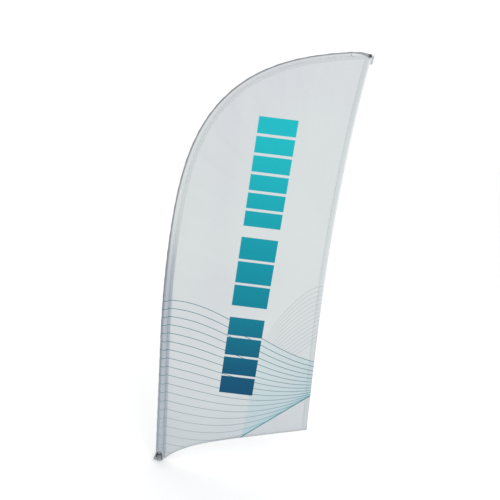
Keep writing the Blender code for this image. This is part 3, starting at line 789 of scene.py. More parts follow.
def sleeve_cloth(cloth, pattern, name="sleeve_weave"):
    """Painted shade low down on the sleeve, and a darker painted shade along its outer edge."""
    finish = cloth_finish(name, 0.60, 0.10, 0.35, 0.15)
    dark = shaded(cloth.sleeve_shade_colour, 0.86)
    ground = cloth_ground(finish, cloth.panel_colour, cloth.shade_colour)
    # Painted shade on the lower sleeve and seam, mottled by noise, fading out between 0.8 and 1.2 m along
    # the pole.
    painted_low_shade = finish.mix(finish.noise(45.0, 2.0), cloth.sleeve_shade_colour, dark)
    ground = finish.mix(finish.fade(finish.field("run"), 1.20, 0.80), ground, painted_low_shade)
    # Painted shade along the sleeve's outer edge, stronger higher up the pole.
    outer = finish.fade(finish.field("edge"), -0.15, 0.60)
    outer = finish.times(outer, finish.fade(finish.field("run"), 0.20, 1.20, 0.50, 0.88))
    ground = finish.mix(outer, ground, cloth.edge_shade_colour)
    finish.colour(printed(finish, ground, pattern))
    return cloth_surface(finish, 0.48, 0.66, 90.0, (0.0008, 0.00012), (55.0, 0.0012))


def hem_cloth(cloth, pattern):
    """Folded panel cloth, printed across, with a painted highlight along its outermost fold, weaker lower
    down, and painted shade near the lower corner.
    """
    finish = cloth_finish("hem_weave", 0.58, 0.06, 0.3, 0.15)
    dark = shaded(cloth.hem_colour, 0.90)
    ground = cloth_ground(finish, cloth.hem_colour, dark)
    ground = lower_down(finish, ground, cloth)
    _, z = finish.axes()
    # Painted highlight on the hems' outermost fold, weaker lower down.
    dull = shaded(cloth.rim_highlight_colour, 0.80)
    rim = finish.mix(finish.fade(z, 0.60, 0.90), dull, cloth.rim_highlight_colour)
    # Painted shade on the hem's fold near the lower corner.
    corner = finish.fade(z, CORNER_Z + 0.028, CORNER_Z + 0.020)
    rim = finish.mix(corner, rim, shaded(cloth.rim_highlight_colour, 0.60))
    ground = finish.mix(finish.fade(finish.field("depth"), 0.0065, 0.0045), ground, rim)
    worn = finish.fade(finish.noise(26.0, 4.0, 0.6), 0.62, 0.78, 0.0, 0.25)
    ground = finish.mix(worn, ground, dark)
    finish.colour(printed(finish, ground, pattern))
    return cloth_surface(finish, 0.50, 0.66, 80.0, (0.0008, 0.00012), (70.0, 0.0009))


def mouth_binding_cloth(cloth):
    """Ribbed binding tape round the mouth of the sleeve."""
    finish = cloth_finish("mouth_binding_weave", 0.66, 0.10, 0.4, 0.2)
    # The tape's tone holds painted shade, matched to the lower sleeve.
    dark = shaded(cloth.mouth_tone_and_shade, 0.78)
    ground = cloth_ground(finish, cloth.mouth_tone_and_shade, dark)
    worn = finish.fade(finish.noise(160.0, 4.0, 0.6), 0.58, 0.78, 0.0, 0.5)
    finish.colour(finish.mix(worn, ground, dark))
    finish.rough(0.58, 0.74, finish.noise(210.0))
    finish.bump(finish.bands(0.0012, "Z"), 0.00025, 0.7)
    return finish.material


def pocket_cloth(cloth):
    finish = cloth_finish("pocket_weave", 0.72, 0.15, 0.5, 0.3)
    dark = cloth.pocket_colour
    light = shaded(dark, 1.5)
    ground = cloth_ground(finish, dark, light)
    scuffs = finish.fade(finish.noise(140.0, 3.0, 0.7), 0.60, 0.80, 0.0, 0.5)
    ground = finish.mix(scuffs, ground, light)
    ground = finish.mix(finish.fade(finish.field("shade"), -0.35, 0.35), cloth.panel_colour, ground)
    end = finish.fade(finish.field("run"), POCKET_END - 0.016, POCKET_END - 0.006)
    finish.colour(finish.mix(end, ground, shaded(dark, 0.25)))
    finish.rough(0.62, 0.85, finish.noise(200.0))
    weave(finish, 0.0011, 0.0002)
    return finish.material


def tape_cloth(cloth):
    finish = cloth_finish("tape_weave", 0.8, 0.3, 0.5, 0.3)
    light = cloth.tape_colour
    dark = shaded(light, 0.7)
    ribs = finish.bands(0.0011, "Z")
    ground = finish.mix(finish.fade(ribs, 0.2, 0.8), dark, light)
    soiled = finish.fade(finish.noise(120.0, 3.0), 0.5, 0.8, 0.0, 0.4)
    finish.colour(finish.mix(soiled, ground, dark))
    finish.rough(0.7, 0.9, finish.noise(300.0))
    finish.bump(ribs, 0.0003, 0.8)
    return finish.material


def thread(cloth):
    finish = Finish("sewing_thread", 0.45, Sheen_Weight=0.2, Specular_IOR_Level=0.5)
    twist = finish.noise(2500.0, 1.0)
    light = tuple(min(1.0, 1.02 * c) for c in cloth.hem_colour)
    finish.colour(finish.mix(twist, light, shaded(light, 0.72)))
    finish.rough(0.38, 0.6, twist)
    finish.bump(twist, 0.0001, 0.5)
    return finish.material


def worn_finish(finish, grain, ground, wear, worn_tone, rough, depth, strength=0.6):
    """Grained surface whose ground colour gives way to a worn tone here and there."""
    finish.colour(finish.mix(wear, ground, worn_tone))
    finish.rough(*rough, grain)
    finish.bump(grain, depth, strength)
    return finish.material


def satin_aluminium():
    finish = Finish("satin_aluminium", 0.34, 1.0)
    drawn = finish.noise(420.0, 3.0, 0.6, finish.where((1.0, 1.0, 0.02)))
    rings = finish.noise(60.0, 2.0, 0.5, finish.where((0.05, 0.05, 1.0)))
    ground = finish.mix(finish.fade(drawn, 0.3, 0.7), (0.560, 0.575, 0.590), (0.680, 0.690, 0.700))
    rubbed = finish.fade(rings, 0.60, 0.74, 0.0, 0.35)
    return worn_finish(finish, drawn, ground, rubbed, (0.450, 0.460, 0.475), (0.28, 0.44), 0.00006)


def bright_steel():
    finish = Finish("bright_steel", 0.26, 1.0)
    turned = finish.noise(900.0, 2.0, 0.6, finish.where((0.08, 0.08, 1.0)))
    ground = finish.mix(finish.fade(turned, 0.3, 0.7), (0.520, 0.525, 0.530), (0.680, 0.680, 0.675))
    spots = finish.fade(finish.noise(330.0, 4.0, 0.7), 0.66, 0.80, 0.0, 0.6)
    return worn_finish(finish, turned, ground, spots, (0.330, 0.310, 0.290), (0.20, 0.42), 0.00004, 0.5)


def pultruded_rod():
    finish = Finish("pultruded_glass", 0.30, Coat_Weight=0.4, Coat_Roughness=0.15)
    fibres = finish.noise(520.0, 3.0, 0.6, finish.where((1.0, 1.0, 0.03)))
    ground = finish.mix(finish.fade(fibres, 0.3, 0.7), (0.010, 0.011, 0.013), (0.030, 0.032, 0.035))
    marks = finish.noise(260.0, 4.0, 0.7, finish.where((1.0, 1.0, 0.3)))
    scratches = finish.fade(marks, 0.66, 0.76, 0.0, 0.4)
    return worn_finish(finish, fibres, ground, scratches, (0.110, 0.115, 0.120), (0.24, 0.42), 0.00006)


def moulded_plastic(name, tone):
    """Grained plastic of a tone, paler where it is rubbed."""
    finish = Finish(name, 0.48, Specular_IOR_Level=0.4)
    grain = finish.noise(1500.0, 2.0)
    dark, light, pale = (shaded(tone, share) for share in (0.65, 1.3, 2.6))
    ground = finish.mix(finish.fade(finish.noise(40.0, 3.0), 0.35, 0.7), dark, light)
    rubbed = finish.fade(finish.noise(210.0, 4.0, 0.7), 0.62, 0.78, 0.0, 0.5)
    return worn_finish(finish, grain, ground, rubbed, pale, (0.40, 0.62), 0.00008, 0.7)


def braided_elastic():
    """Diagonal over-and-under yarns wound round the cord, on its own map."""
    finish = Finish("braided_elastic", 0.80, Sheen_Weight=0.4, Sheen_Roughness=0.4)
    split = finish.node("ShaderNodeSeparateXYZ")
    finish.feed(split.inputs[0], finish.node("ShaderNodeUVMap", uv_map="cord_map").outputs["UV"])
    around, along = split.outputs["X"], split.outputs["Y"]
    right = finish.math("SINE", finish.plus(finish.times(around, 6.0 * TURN), along))
    left = finish.math("SINE", finish.math("SUBTRACT", finish.times(around, 6.0 * TURN), along))
    yarns = finish.math("MULTIPLY_ADD", finish.times(right, left), 0.5, 0.5)
    fleck = finish.fade(finish.noise(1300.0, 2.0), 0.5, 0.8, 0.0, 0.5)
    ground = finish.mix(finish.fade(yarns, 0.2, 0.8), (0.006, 0.008, 0.012), (0.040, 0.050, 0.070))
    finish.colour(finish.mix(fleck, ground, (0.110, 0.120, 0.140)))
    finish.rough(0.7, 0.9, yarns)
    finish.bump(yarns, 0.00035, 0.9)
    return finish.material


def floor_paint(stage):
    finish = Finish("pale_floor", 0.9, Specular_IOR_Level=0.1)
    pale = stage.floor
    finish.colour(finish.mix(finish.noise(1.5, 3.0), pale, shaded(pale, 0.985)))
    finish.rough(0.85, 0.95, finish.noise(4.0))
    return finish.material


# ---- operators -------------------------------------------------------------------
class FLAG_OT_stage(bpy.types.Operator):
    """Pale floor, soft light and the camera"""

    bl_idname = "flag.stage"
    bl_label = "Stage"

    def execute(self, context):
        stage = context.scene.flag_stage
        scene = context.scene
        scene.view_settings.view_transform = "Standard"
        world = bpy.data.worlds.new("soft_surround")
        world.use_nodes = True
        background = world.node_tree.nodes["Background"]
        background.inputs["Color"].default_value = (1.0, 1.0, 1.0, 1.0)
        background.inputs["Strength"].default_value = stage.sky
        scene.world = world

        signs = ((-1, -1), (1, -1), (1, 1), (-1, 1))
        points = [(FLOOR_REACH * x, FLOOR_REACH * y, FLOOR_Z) for x, y in signs]
        floor = mesh_object("pale_floor", points, [(0, 1, 2, 3)], floor_paint(stage), outwards=False)

        add_lamp("key_lamp", Vector((2.4, -3.2, 3.4)), stage.key)
        add_lamp("fill_lamp", Vector((-2.6, 3.0, 2.6)), stage.fill)

        lens = bpy.data.cameras.new("camera")
        lens.lens = 36.0
        lens.sensor_width = 36.0
        lens.clip_end = 60.0
        camera = bpy.data.objects.new("camera", lens)
        camera.location = CAMERA_PLACE
        yaw, pitch, roll = (math.radians(angle) for angle in CAMERA_ANGLES)
        turned = Euler((math.radians(90.0) - pitch, 0.0, -yaw), "XYZ").to_matrix()
        camera.rotation_euler = (turned @ Euler((0.0, 0.0, roll), "XYZ").to_matrix()).to_euler()
        scene.collection.objects.link(camera)
        scene.camera = camera
        return {"FINISHED"}


def add_lamp(name, place, power):
    lamp = bpy.data.lights.new(name, "AREA")
    lamp.shape = "DISK"
    lamp.size = LAMP_SIZE
    lamp.energy = power
    made = bpy.data.objects.new(name, lamp)
    made.location = place
    made.rotation_euler = (LAMP_AIM - place).to_track_quat("-Z", "Y").to_euler()
    bpy.context.scene.collection.objects.link(made)


class FLAG_OT_panel(bpy.types.Operator):
    """The printed sheet between the sleeve, the free edge and the bottom edge"""

    bl_idname = "flag.panel"
    bl_label = "Printed panel"

    def execute(self, context):
        cloth, pattern = context.scene.flag_cloth, context.scene.flag_print
        grid = panel_grid()
        x, z = grid[:, :, 0].ravel(), grid[:, :, 1].ravel()
        points = np.stack([x, cloth_y(x, z, cloth), z], axis=1)
        faces = grid_faces(PANEL_ROWS, PANEL_COLUMNS)
        finish = panel_cloth(cloth, pattern)
        panel = mesh_object("printed_panel", points, faces, finish, print_fields(x, z), outwards=False)
        give_thickness(panel, CLOTH, 0.0)
        place_on_flag(panel, ("flag_panel",))
        return {"FINISHED"}


def panel_grid():
    """Rows of points over the flat panel, from the sleeve to the free edge."""
    inset = FREE_HEM - TUCK
    side = SEAM_WIDTH + GAP - TUCK
    left_x = float(seam_inner(0.0)) + side
    start = float(bottom_edge_z(left_x)) + BOTTOM_HEM - TUCK
    rise = np.linspace(0.0, 1.0, PANEL_ROWS)
    s = start + (seam_end(inset + 0.004) - start) * rise
    left = np.stack(beside_pole(s, seam_inner(s) + side), axis=1)
    right = free_edge_line(inset, PANEL_ROWS)[::-1].copy()
    foot = float(bottom_edge_z(right[0, 0])) + BOTTOM_HEM - TUCK
    low_z = right[:, 1].copy()
    top_z = left[-1, 1] - 0.004
    right[:, 1] = foot + (top_z - foot) * (low_z - low_z[0]) / (low_z[-1] - low_z[0])
    right[:, 0] = free_edge_x(right[:, 1]) - inset
    over = np.linspace(0.0, 1.0, PANEL_COLUMNS)
    grid = left[:, None] * (1.0 - over)[None, :, None] + right[:, None] * over[None, :, None]
    base = bottom_edge_z(grid[0, :, 0]) + BOTTOM_HEM - TUCK - grid[0, :, 1]
    grid[:, :, 1] += base[None, :] * ((1.0 - rise) ** 3)[:, None]
    return grid


def panel_outline():
    """The panel's cut edge, once round."""
    grid = panel_grid()
    return np.concatenate([grid[0, :-1], grid[:-1, -1], grid[-1, :0:-1], grid[:0:-1, 0]])


class FLAG_OT_sleeve(bpy.types.Operator):
    """The pole sleeve, its reinforced cuff and the tape round its mouth"""

    bl_idname = "flag.sleeve"
    bl_label = "Pole sleeve"

    def execute(self, context):
        cloth, pattern = context.scene.flag_cloth, context.scene.flag_print
        finish = sleeve_cloth(cloth, pattern)

        count = int((SLEEVE_END - CUFF_HEIGHT) / SLEEVE_STEP)
        s = np.linspace(CUFF_HEIGHT + GAP, SLEEVE_END, count)
        angle = TURN * np.arange(SLEEVE_SIDES) / SLEEVE_SIDES
        s, angle = np.meshgrid(s, angle, indexing="ij")
        sleeve = self.tube("cloth_sleeve", s, angle, cloth, finish)
        place_on_flag(sleeve, ("pole_sleeve",))

        rows = int(CUFF_HEIGHT / CUFF_STEP)
        angle = TURN * np.arange(CUFF_SIDES) / CUFF_SIDES
        low = mouth_line(angle)
        rise = np.linspace(0.0, 1.0, rows)
        s = low[None, :] + (CUFF_HEIGHT - low)[None, :] * rise[:, None]
        angle = np.broadcast_to(angle, s.shape)
        cuff = self.tube("mouth_cuff", s, angle, cloth, finish, eyelet=True)
        place_on_flag(cuff, ("sleeve_cuff",))

        tape = self.mouth_tape(cloth)
        place_on_flag(tape, ("mouth_binding",))
        return {"FINISHED"}

    def tube(self, name, s, angle, cloth, finish, eyelet=False):
        points = sleeve_points(s, angle, cloth)
        faces = grid_faces(s.shape[0], s.shape[1], wrap=True)
        if eyelet:
            faces = [f for f in faces if not near_eyelet(points[list(f)].mean(axis=0))]
        fields = print_fields(points[:, 0], points[:, 2])
        fields["edge"] = -np.cos(angle).ravel()
        fields["run"] = s.ravel()
        made = mesh_object(name, points, faces, finish, fields, outwards=False)
        face_away_from_axis(made.data)
        return give_thickness(made, CLOTH, -1.0)

    def mouth_tape(self, cloth):
        """Binding tape folded over the edge of the mouth."""
        angle = TURN * np.arange(CUFF_SIDES) / CUFF_SIDES
        low = mouth_line(angle)
        top, half, fold = BINDING_HEIGHT, 0.5 * BINDING_HEIGHT, 0.0004
        inner, outer, under = -CLOTH - 0.0005, 0.0009, -CLOTH - 0.0001
        outline = [(top, 0.0002), (top, outer - 0.0002), (top - fold, outer), (half, outer + 0.0003)]
        outline += [(fold, outer), (-fold, 0.4 * outer), (-fold, 0.7 * inner), (fold, inner)]
        outline += [(half, inner), (top, inner), (top, under), (2.0 * fold, under), (2.0 * fold, 0.0002)]
        s = np.array([low + up for up, _ in outline]).T
        swell = np.array([[out for _, out in outline]] * len(angle))
        around = np.broadcast_to(angle[:, None], s.shape)
        points = sleeve_points(s, around, cloth, swell)
        faces = grid_faces(len(angle), len(outline), wrap=True)
        last = (len(angle) - 1) * len(outline)
        for k in range(len(outline)):
            after = (k + 1) % len(outline)
            faces.append((last + k, last + after, after, k))
        return mesh_object("mouth_tape", points, faces, mouth_binding_cloth(cloth))


def mouth_line(angle):
    """Height of the sleeve's mouth at each angle, with the arch cut in its front."""
    across = np.cos(angle) * SLEEVE_MOUTH_R
    share = np.clip(1.0 - np.abs(across / MOUTH_CUT_HALF_WIDTH) ** 3, 0.0, 1.0)
    return np.where(np.sin(angle) < 0.0, MOUTH_CUT * np.sqrt(share), 0.0)


def near_eyelet(centre):
    x, y, z = centre
    return y > 0.0 and math.hypot(x, z - CORD_Z) < EYELET_HOLE_R


def sleeve_points(s, angle, cloth, swell=0.0):
    """Points on the sleeve: small ripples away from the seam, and a flared mouth."""
    away = np.clip(0.5 - 0.6 * np.cos(angle), 0.0, 1.0) ** 2
    ripple = np.sin(TURN * s / 0.061 + 2.0 * angle) + 0.7 * np.sin(TURN * s / 0.037 - 3.0 * angle + 1.0)
    calm = ease((s - BINDING_HEIGHT) / 0.10)
    radius = sleeve_radius(s) + swell + RIPPLE * (1.7 + ripple) * away * calm
    pull = SEAM_PULL * ease((s - SEAM_PULL_FROM) / SEAM_PULL_OVER)
    across, back = teardrop(radius, angle, pull)
    spread = np.clip(1.0 - s / FLARE_REACH, 0.0, 1.0) ** 1.6 * np.clip(-np.cos(angle), 0.0, 1.0) ** 1.5
    across = across - cloth.flare * spread
    x, z = beside_pole(s, across)
    return np.stack([x.ravel(), back.ravel(), z.ravel()], axis=1)


def teardrop(radius, angle, pull):
    """A round section whose side towards the flag is drawn out to the seam."""
    small, centre = radius * (1.0 - pull), -radius * pull
    touch = np.arccos(np.clip((1.0 - pull) / (1.0 + pull), -1.0, 1.0))
    turn = (angle + math.pi) % TURN - math.pi
    wide = np.maximum(np.abs(turn), touch)
    across = centre + small * np.cos(wide)
    back = small * np.sin(wide)
    share = np.minimum(np.abs(turn) / np.maximum(touch, 1e-6), 1.0)
    across = radius + (across - radius) * share
    return across, back * share * np.sign(turn)


def face_away_from_axis(mesh):
    """Turn a tube's faces outwards before it gets its wall."""
    point_outwards(mesh)
    face = mesh.polygons[len(mesh.polygons) // 2]
    x, z, _ = pole_at(nearest_height(face.center))
    if face.normal.dot(face.center - Vector((float(x), 0.0, float(z)))) < 0.0:
        mesh.flip_normals()


def nearest_height(centre):
    along, _ = from_pole(np.array([centre.x]), np.array([centre.z]))
    return along[0]


class FLAG_OT_edges(bpy.types.Operator):
    """The seam beside the sleeve and the hems of the free and bottom edges"""

    bl_idname = "flag.edges"
    bl_label = "Seam and hems"

    def execute(self, context):
        cloth, pattern = context.scene.flag_cloth, context.scene.flag_print
        finish = hem_cloth(cloth, pattern)

        def surface(x, z):
            return cloth_y(x, z, cloth)

        def seam_shape(width):
            return hem_section(width, 0.5 * SEWN, 0.0002)

        def hem_shape(width):
            return hem_section(width, 0.5 * SEWN, 0.0005)

        s, inner, outer = seam_lines()
        seam_finish = sleeve_cloth(cloth, pattern, "seam_weave")
        seam = band("sleeve_seam_band", inner, outer, seam_shape, surface, seam_finish, run=s)
        place_on_flag(seam, ("sleeve_seam",))

        outer, inner = free_hem_lines()
        hem = band("free_hem", outer, inner, hem_shape, surface, finish)
        place_on_flag(hem, ("free_edge_hem",))

        lower, upper = bottom_hem_lines()
        foot = band("foot_hem", lower, upper, hem_shape, surface, finish)
        place_on_flag(foot, ("bottom_hem",))
        return {"FINISHED"}


def seam_lines():
    start = max(float(bottom_edge_z(seam_outer(0.0))), 0.0)
    s = np.linspace(start, POCKET_END, int((POCKET_END - start) / BAND_STEP))
    inner = np.stack(beside_pole(s, seam_inner(s)), axis=1)
    return s, inner, np.stack(beside_pole(s, seam_outer(s)), axis=1)


def free_hem_lines():
    count = int(1.6 / BAND_STEP)
    return free_edge_line(0.0, count), free_edge_line(FREE_HEM, count)


def bottom_hem_lines():
    left = float(seam_outer(0.0)) + GAP
    x = left + (CORNER_X - left) * np.linspace(0.0, 1.0, int((CORNER_X - left) / BAND_STEP)) ** 1.2
    lower = np.stack([x, bottom_edge_z(x)], axis=1)
    return lower, lower + np.array([0.0, BOTTOM_HEM])


class FLAG_OT_stitches(bpy.types.Operator):
    """Rows of machine stitches along the seam, the hems and the mouth"""

    bl_idname = "flag.stitches"
    bl_label = "Stitches"

    def execute(self, context):
        cloth, sewing = context.scene.flag_cloth, context.scene.flag_stitch
        tree = stitch_tree()
        finish = thread(cloth)
        _, inner, outer = seam_lines()
        for name, (far, near), insets, proud in (
            ("seam_stitches", (outer, inner), (0.0022, 0.0078), 0.00022),
            ("free_hem_stitches", free_hem_lines(), (0.0022, 0.0075), 0.00042),
            ("foot_hem_stitches", bottom_hem_lines(), (0.0020,), 0.00032),
        ):
            rows = both_faces(near, far, insets, 0.5 * SEWN + proud, cloth)
            self.sew(name, rows, tree, finish, sewing)
        self.sew("mouth_stitches", mouth_stitch_rows(cloth), tree, finish, sewing)
        return {"FINISHED"}

    def sew(self, name, rows, tree, finish, sewing):
        """One plain mesh of stitches along each row of points."""
        points = np.concatenate(rows)
        edges = []
        start = 0
        for row in rows:
            edges += [(start + k, start + k + 1) for k in range(len(row) - 1)]
            start += len(row)
        mesh = bpy.data.meshes.new(name)
        mesh.from_pydata([tuple(p) for p in points], edges, [])
        made = bpy.data.objects.new(name, mesh)
        bpy.context.scene.collection.objects.link(made)
        run = made.modifiers.new("stitch_run", "NODES")
        run.node_group = tree
        values = {
            "Pitch": sewing.pitch,
            "Length": sewing.length,
            "Thread": sewing.thread,
            "Seed": sewing.seed,
            "Finish": finish,
        }
        for item in tree.interface.items_tree:
            if item.in_out == "INPUT" and item.name in values:
                run[item.identifier] = values[item.name]
        settle(made)
        made.data.shade_smooth()
        place_on_flag(made)


def both_faces(near, far, insets, height, cloth):
    """Stitch rows at distances in from a band's near line, on its front and back."""
    across = far - near
    across = across / np.hypot(across[:, 0], across[:, 1])[:, None]
    rows = []
    for inset in insets:
        line = (near + across * inset)[2:-2]
        middle = cloth_y(line[:, 0], line[:, 1], cloth)
        for face in (-height, height):
            rows.append(np.stack([line[:, 0], middle + face, line[:, 1]], axis=1))
    return rows


def mouth_stitch_rows(cloth):
    """A row round the mouth's tape and one round the top of the cuff."""
    angle = np.linspace(0.06 * TURN, 0.94 * TURN, 160)
    on_tape = sleeve_points(mouth_line(angle) + 0.0062, angle, cloth, 0.0011)
    on_cuff = sleeve_points(np.full(len(angle), CUFF_HEIGHT - 0.006), angle, cloth, 0.0002)
    return [on_tape, on_cuff]


def stitch_tree():
    """Geometry nodes that lay one stitch after another along a mesh's edges."""
    tree = bpy.data.node_groups.new("stitch_run", "GeometryNodeTree")
    kinds = {"Pitch": "Float", "Length": "Float", "Thread": "Float", "Seed": "Int", "Finish": "Material"}
    for name, kind in {"Geometry": "Geometry", **kinds}.items():
        tree.interface.new_socket(name, in_out="INPUT", socket_type="NodeSocket" + kind)
    tree.interface.new_socket("Geometry", in_out="OUTPUT", socket_type="NodeSocketGeometry")

    def add(kind, inputs, **settings):
        """The outputs of a new node, its inputs linked or set."""
        made = tree.nodes.new(kind)
        for key, value in settings.items():
            setattr(made, key, value)
        for socket, value in inputs.items():
            if isinstance(value, bpy.types.NodeSocket):
                tree.links.new(value, made.inputs[socket])
            else:
                made.inputs[socket].default_value = value
        return made.outputs

    given = add("NodeGroupInput", {})
    curve = add("GeometryNodeMeshToCurve", {"Mesh": given["Geometry"]})["Curve"]
    spaced = {"Curve": curve, "Length": given["Pitch"]}
    points = add("GeometryNodeResampleCurve", spaced, mode="LENGTH")["Curve"]
    tangent = add("GeometryNodeInputTangent", {})["Tangent"]
    turn = add("FunctionNodeAlignEulerToVector", {"Vector": tangent}, axis="Z")["Rotation"]
    drawn = {2: 0.44, 3: 0.50, "Seed": given["Seed"]}
    wobble = add("FunctionNodeRandomValue", drawn, data_type="FLOAT")[1]
    ball = add("GeometryNodeMeshUVSphere", {"Segments": 5, "Rings": 4, "Radius": 1.0})["Mesh"]
    length = add("ShaderNodeMath", {0: given["Length"], 1: wobble}, operation="MULTIPLY")[0]
    thick = add("ShaderNodeMath", {0: given["Thread"], 1: 0.5}, operation="MULTIPLY")[0]
    size = add("ShaderNodeCombineXYZ", {"X": thick, "Y": thick, "Z": length})[0]
    laid = {"Points": points, "Instance": ball, "Rotation": turn, "Scale": size}
    stitches = add("GeometryNodeInstanceOnPoints", laid)["Instances"]
    real = add("GeometryNodeRealizeInstances", {"Geometry": stitches})["Geometry"]
    painted = {"Geometry": real, "Material": given["Finish"]}
    add("NodeGroupOutput", {"Geometry": add("GeometryNodeSetMaterial", painted)["Geometry"]})
    return tree


class FLAG_OT_tip(bpy.types.Operator):
    """The dark pocket over the end of the pole and the tape tab beside it"""

    bl_idname = "flag.tip"
    bl_label = "Tip pocket and tab"

    def execute(self, context):
        cloth = context.scene.flag_cloth
        sides, start = POCKET_SIDES, SLEEVE_END - POCKET_OVERLAP
        s = np.linspace(start, POCKET_END, 44)
        angle = TURN * np.arange(sides) / sides
        s, angle = np.meshgrid(s, angle, indexing="ij")
        share = (s - start) / (POCKET_END - start)
        radius = (SLEEVE_TIP_R + PLY) * (1.0 - POCKET_SHRINK * share)
        flat = 1.0 - POCKET_FLATTENS * ease((s - POLE_LENGTH - 0.003) / (POCKET_END - POLE_LENGTH))
        away = 0.5 - 0.5 * np.cos(angle)
        wave = np.sin(TURN * s / 0.009 + 3.0 * angle)
        radius = radius + POCKET_CREASE * wave * away * ease((s - start) / 0.008)
        droop = POCKET_DROOP * ease((s - POLE_LENGTH + 0.012) / (POCKET_END - POLE_LENGTH + 0.012))
        slack = POCKET_SLACK * ease((s - start) / 0.020) * np.clip(np.cos(angle), 0.0, 1.0) ** 2
        x, z = beside_pole(s, radius * np.cos(angle) + droop + slack)
        y = radius * np.sin(angle) * flat
        points = np.stack([x.ravel(), y.ravel(), z.ravel()], axis=1)
        rows = s.shape[0]
        faces = grid_faces(rows, sides, wrap=True)
        end_x, end_z = beside_pole(POCKET_END + 0.0006, POCKET_DROOP)
        points = np.vstack([points, [float(end_x), 0.0, float(end_z)]])
        shade = 1.7 * share - np.cos(angle) - 0.5
        fields = {
            "run": np.append(s.ravel(), POCKET_END),
            "shade": np.append(shade.ravel(), 1.0),
        }
        last = (rows - 1) * sides
        for k in range(sides):
            faces.append((last + k, last + (k + 1) % sides, rows * sides))
        pocket = mesh_object("pocket_cloth", points, faces, pocket_cloth(cloth), fields, outwards=False)
        face_away_from_axis(pocket.data)
        give_thickness(pocket, CLOTH, -1.0)
        place_on_flag(pocket, ("tip_pocket",))

        tab = self.tab(cloth)
        place_on_flag(tab, ("tip_tab",))
        return {"FINISHED"}

    def tab(self, cloth):
        corner, below = free_edge_line(0.0, 60)[:2]
        pole_z = float(pole_at(POCKET_END)[1])
        top_z, foot_z = pole_z - TAB_DROP, pole_z - TAB_LENGTH
        z = np.linspace(top_z, foot_z, 20)
        slope = (below[0] - corner[0]) / (below[1] - corner[1])
        x = corner[0] + GAP + slope * (np.minimum(z, corner[1]) - corner[1])
        inner = np.stack([x, z], axis=1)
        outer = inner + np.array([TAB_WIDTH, 0.0])

        def shape(width):
            return strip_section(width, 0.5 * TAB_THICK)

        def sway(x, z):
            return 0.0008 * np.sin(math.pi * (top_z - z) / TAB_LENGTH)

        return band("tip_tape", inner, outer, shape, sway, tape_cloth(cloth))


class FLAG_OT_elastic(bpy.types.Operator):
    """The braided elastic that ties the mouth of the sleeve to the pole"""

    bl_idname = "flag.elastic"
    bl_label = "Elastic"

    def execute(self, context):
        route, sides = smooth_route(elastic_route(), 5), CORD_SIDES
        rings = []
        lengths = [0.0]
        for before, after in zip(route, route[1:]):
            lengths.append(lengths[-1] + (after - before).length)
        side = Vector((0.0, 0.0, 1.0))
        for k, centre in enumerate(route):
            ahead = (route[min(k + 1, len(route) - 1)] - route[max(k - 1, 0)]).normalized()
            other = ahead.cross(side).normalized()
            for turn in range(sides):
                angle = TURN * turn / sides
                rings.append(centre + CORD_R * (side * math.cos(angle) + other * math.sin(angle)))
        faces = closed_faces(len(route), sides)
        cord = mesh_object("braided_cord", rings, faces, braided_elastic())
        chart = cord.data.uv_layers.new(name="cord_map")
        for polygon in cord.data.polygons:
            shares = [cord.data.loops[i].vertex_index % sides / sides for i in polygon.loop_indices]
            wraps = max(shares) - min(shares) > 0.5
            for i, share in zip(polygon.loop_indices, shares):
                ring = cord.data.loops[i].vertex_index // sides
                around = share + 1.0 if wraps and share < 0.5 else share
                chart.data[i].uv = (around, lengths[ring] / CORD_R * 3.0)
        place_on_flag(cord, ("mouth_cord",))
        return {"FINISHED"}


def elastic_route():
    """The part's route: round the tube, out through the eyelet and the lock."""
    ring = LOWER_TUBE_R + GAP + CORD_R
    half = [Vector((CORD_HALF_SPACING, CORD_END_Y - 0.009 * k, CORD_Z)) for k in range(3)]
    half += [Vector((1.05 * CORD_HALF_SPACING, SLEEVE_MOUTH_R - CLOTH, CORD_Z))]
    for degrees in (70.0, 45.0, 15.0, -15.0, -45.0, -75.0):
        reach = ring * (1.03 if degrees > 60.0 else 1.01)
        angle = math.radians(degrees)
        half.append(Vector((reach * math.cos(angle), reach * math.sin(angle), CORD_Z)))
    return half + [Vector((-p.x, p.y, p.z)) for p in reversed(half)]


def smooth_route(points, per_span):
    """Points on one smooth curve through the given ones."""
    route = []
    padded = [points[0] * 2 - points[1], *points, points[-1] * 2 - points[-2]]
    for a, b, c, d in zip(padded, padded[1:], padded[2:], padded[3:]):
        for k in range(per_span):
            t = k / per_span
            straight = b * 2 + (c - a) * t
            bent = (a * 2 - b * 5 + c * 4 - d) * t ** 2 + (b * 3 - a - c * 3 + d) * t ** 3
            route.append(0.5 * (straight + bent))
    return route + [points[-1]]


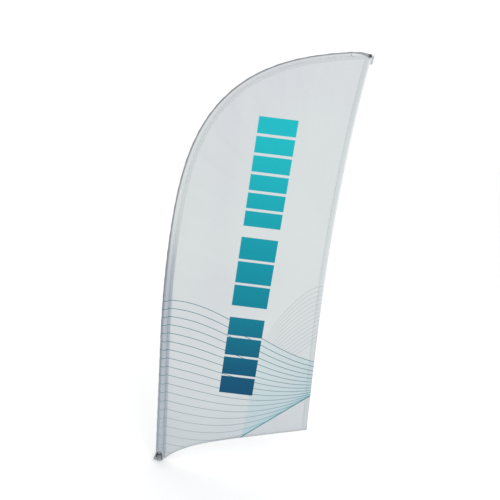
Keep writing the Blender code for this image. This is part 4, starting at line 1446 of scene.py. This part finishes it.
class FLAG_OT_hardware(bpy.types.Operator):
    """Finishes for the pole sections, ferrules, snap button, eyelet and cord lock"""

    bl_idname = "flag.hardware"
    bl_label = "Hardware finishes"

    def execute(self, context):
        finishes = {
            "aluminium": satin_aluminium(),
            "steel": bright_steel(),
            "fibreglass": pultruded_rod(),
            "black_plastic": moulded_plastic("moulded_black", (0.020, 0.020, 0.023)),
        }
        foot = moulded_plastic("moulded_grey", (0.270, 0.280, 0.300))
        slots = {part["node"]: part["material_slot"] for part in frame["record"]["subparts"]}
        for name, node in frame["nodes"].items():
            finish = finishes.get(slots[name])
            if finish is None:
                continue
            for holder in node.material_slots:
                holder.material = foot if name == "foot_socket" else finish
        return {"FINISHED"}


class FLAG_OT_cut(bpy.types.Operator):
    """Works out the panel's outline as cut, and does no more with it"""

    bl_idname = "flag.cut"
    bl_label = "Sheets as cut"

    def execute(self, context):
        x, z = panel_outline().T
        return {"FINISHED"}


class FLAG_PT_build(bpy.types.Panel):
    """Lists the flag's pieces in the sidebar"""

    bl_idname = "FLAG_PT_build"
    bl_label = "Feather flag"
    bl_space_type = "VIEW_3D"
    bl_region_type = "UI"
    bl_category = "Flag"

    def draw(self, context):
        for settings in ("flag_cloth", "flag_print", "flag_stitch", "flag_stage"):
            group = getattr(context.scene, settings)
            column = self.layout.column(align=True)
            for name in group.bl_rna.properties.keys():
                if name not in ("rna_type", "name"):
                    column.prop(group, name)
        for operator in OPERATORS:
            self.layout.operator(operator.bl_idname)


SETTINGS = {
    "flag_cloth": FlagClothSettings,
    "flag_print": FlagPrintSettings,
    "flag_stitch": FlagStitchSettings,
    "flag_stage": FlagStageSettings,
}
OPERATORS = (
    FLAG_OT_stage,
    FLAG_OT_panel,
    FLAG_OT_sleeve,
    FLAG_OT_edges,
    FLAG_OT_stitches,
    FLAG_OT_tip,
    FLAG_OT_elastic,
    FLAG_OT_hardware,
    FLAG_OT_cut,
)
CLASSES = (*SETTINGS.values(), *OPERATORS, FLAG_PT_build)


def register():
    for made in CLASSES:
        bpy.utils.register_class(made)
    for name, settings in SETTINGS.items():
        setattr(bpy.types.Scene, name, PointerProperty(type=settings))


def unregister():
    for name in SETTINGS:
        delattr(bpy.types.Scene, name)
    for made in reversed(CLASSES):
        bpy.utils.unregister_class(made)


def main():
    register()
    bpy.ops.flag.stage()
    bpy.ops.flag.panel()
    bpy.ops.flag.sleeve()
    bpy.ops.flag.edges()
    bpy.ops.flag.stitches()
    bpy.ops.flag.tip()
    bpy.ops.flag.elastic()
    bpy.ops.flag.hardware()
    bpy.ops.flag.cut()


if __name__ == "__main__":
    main()
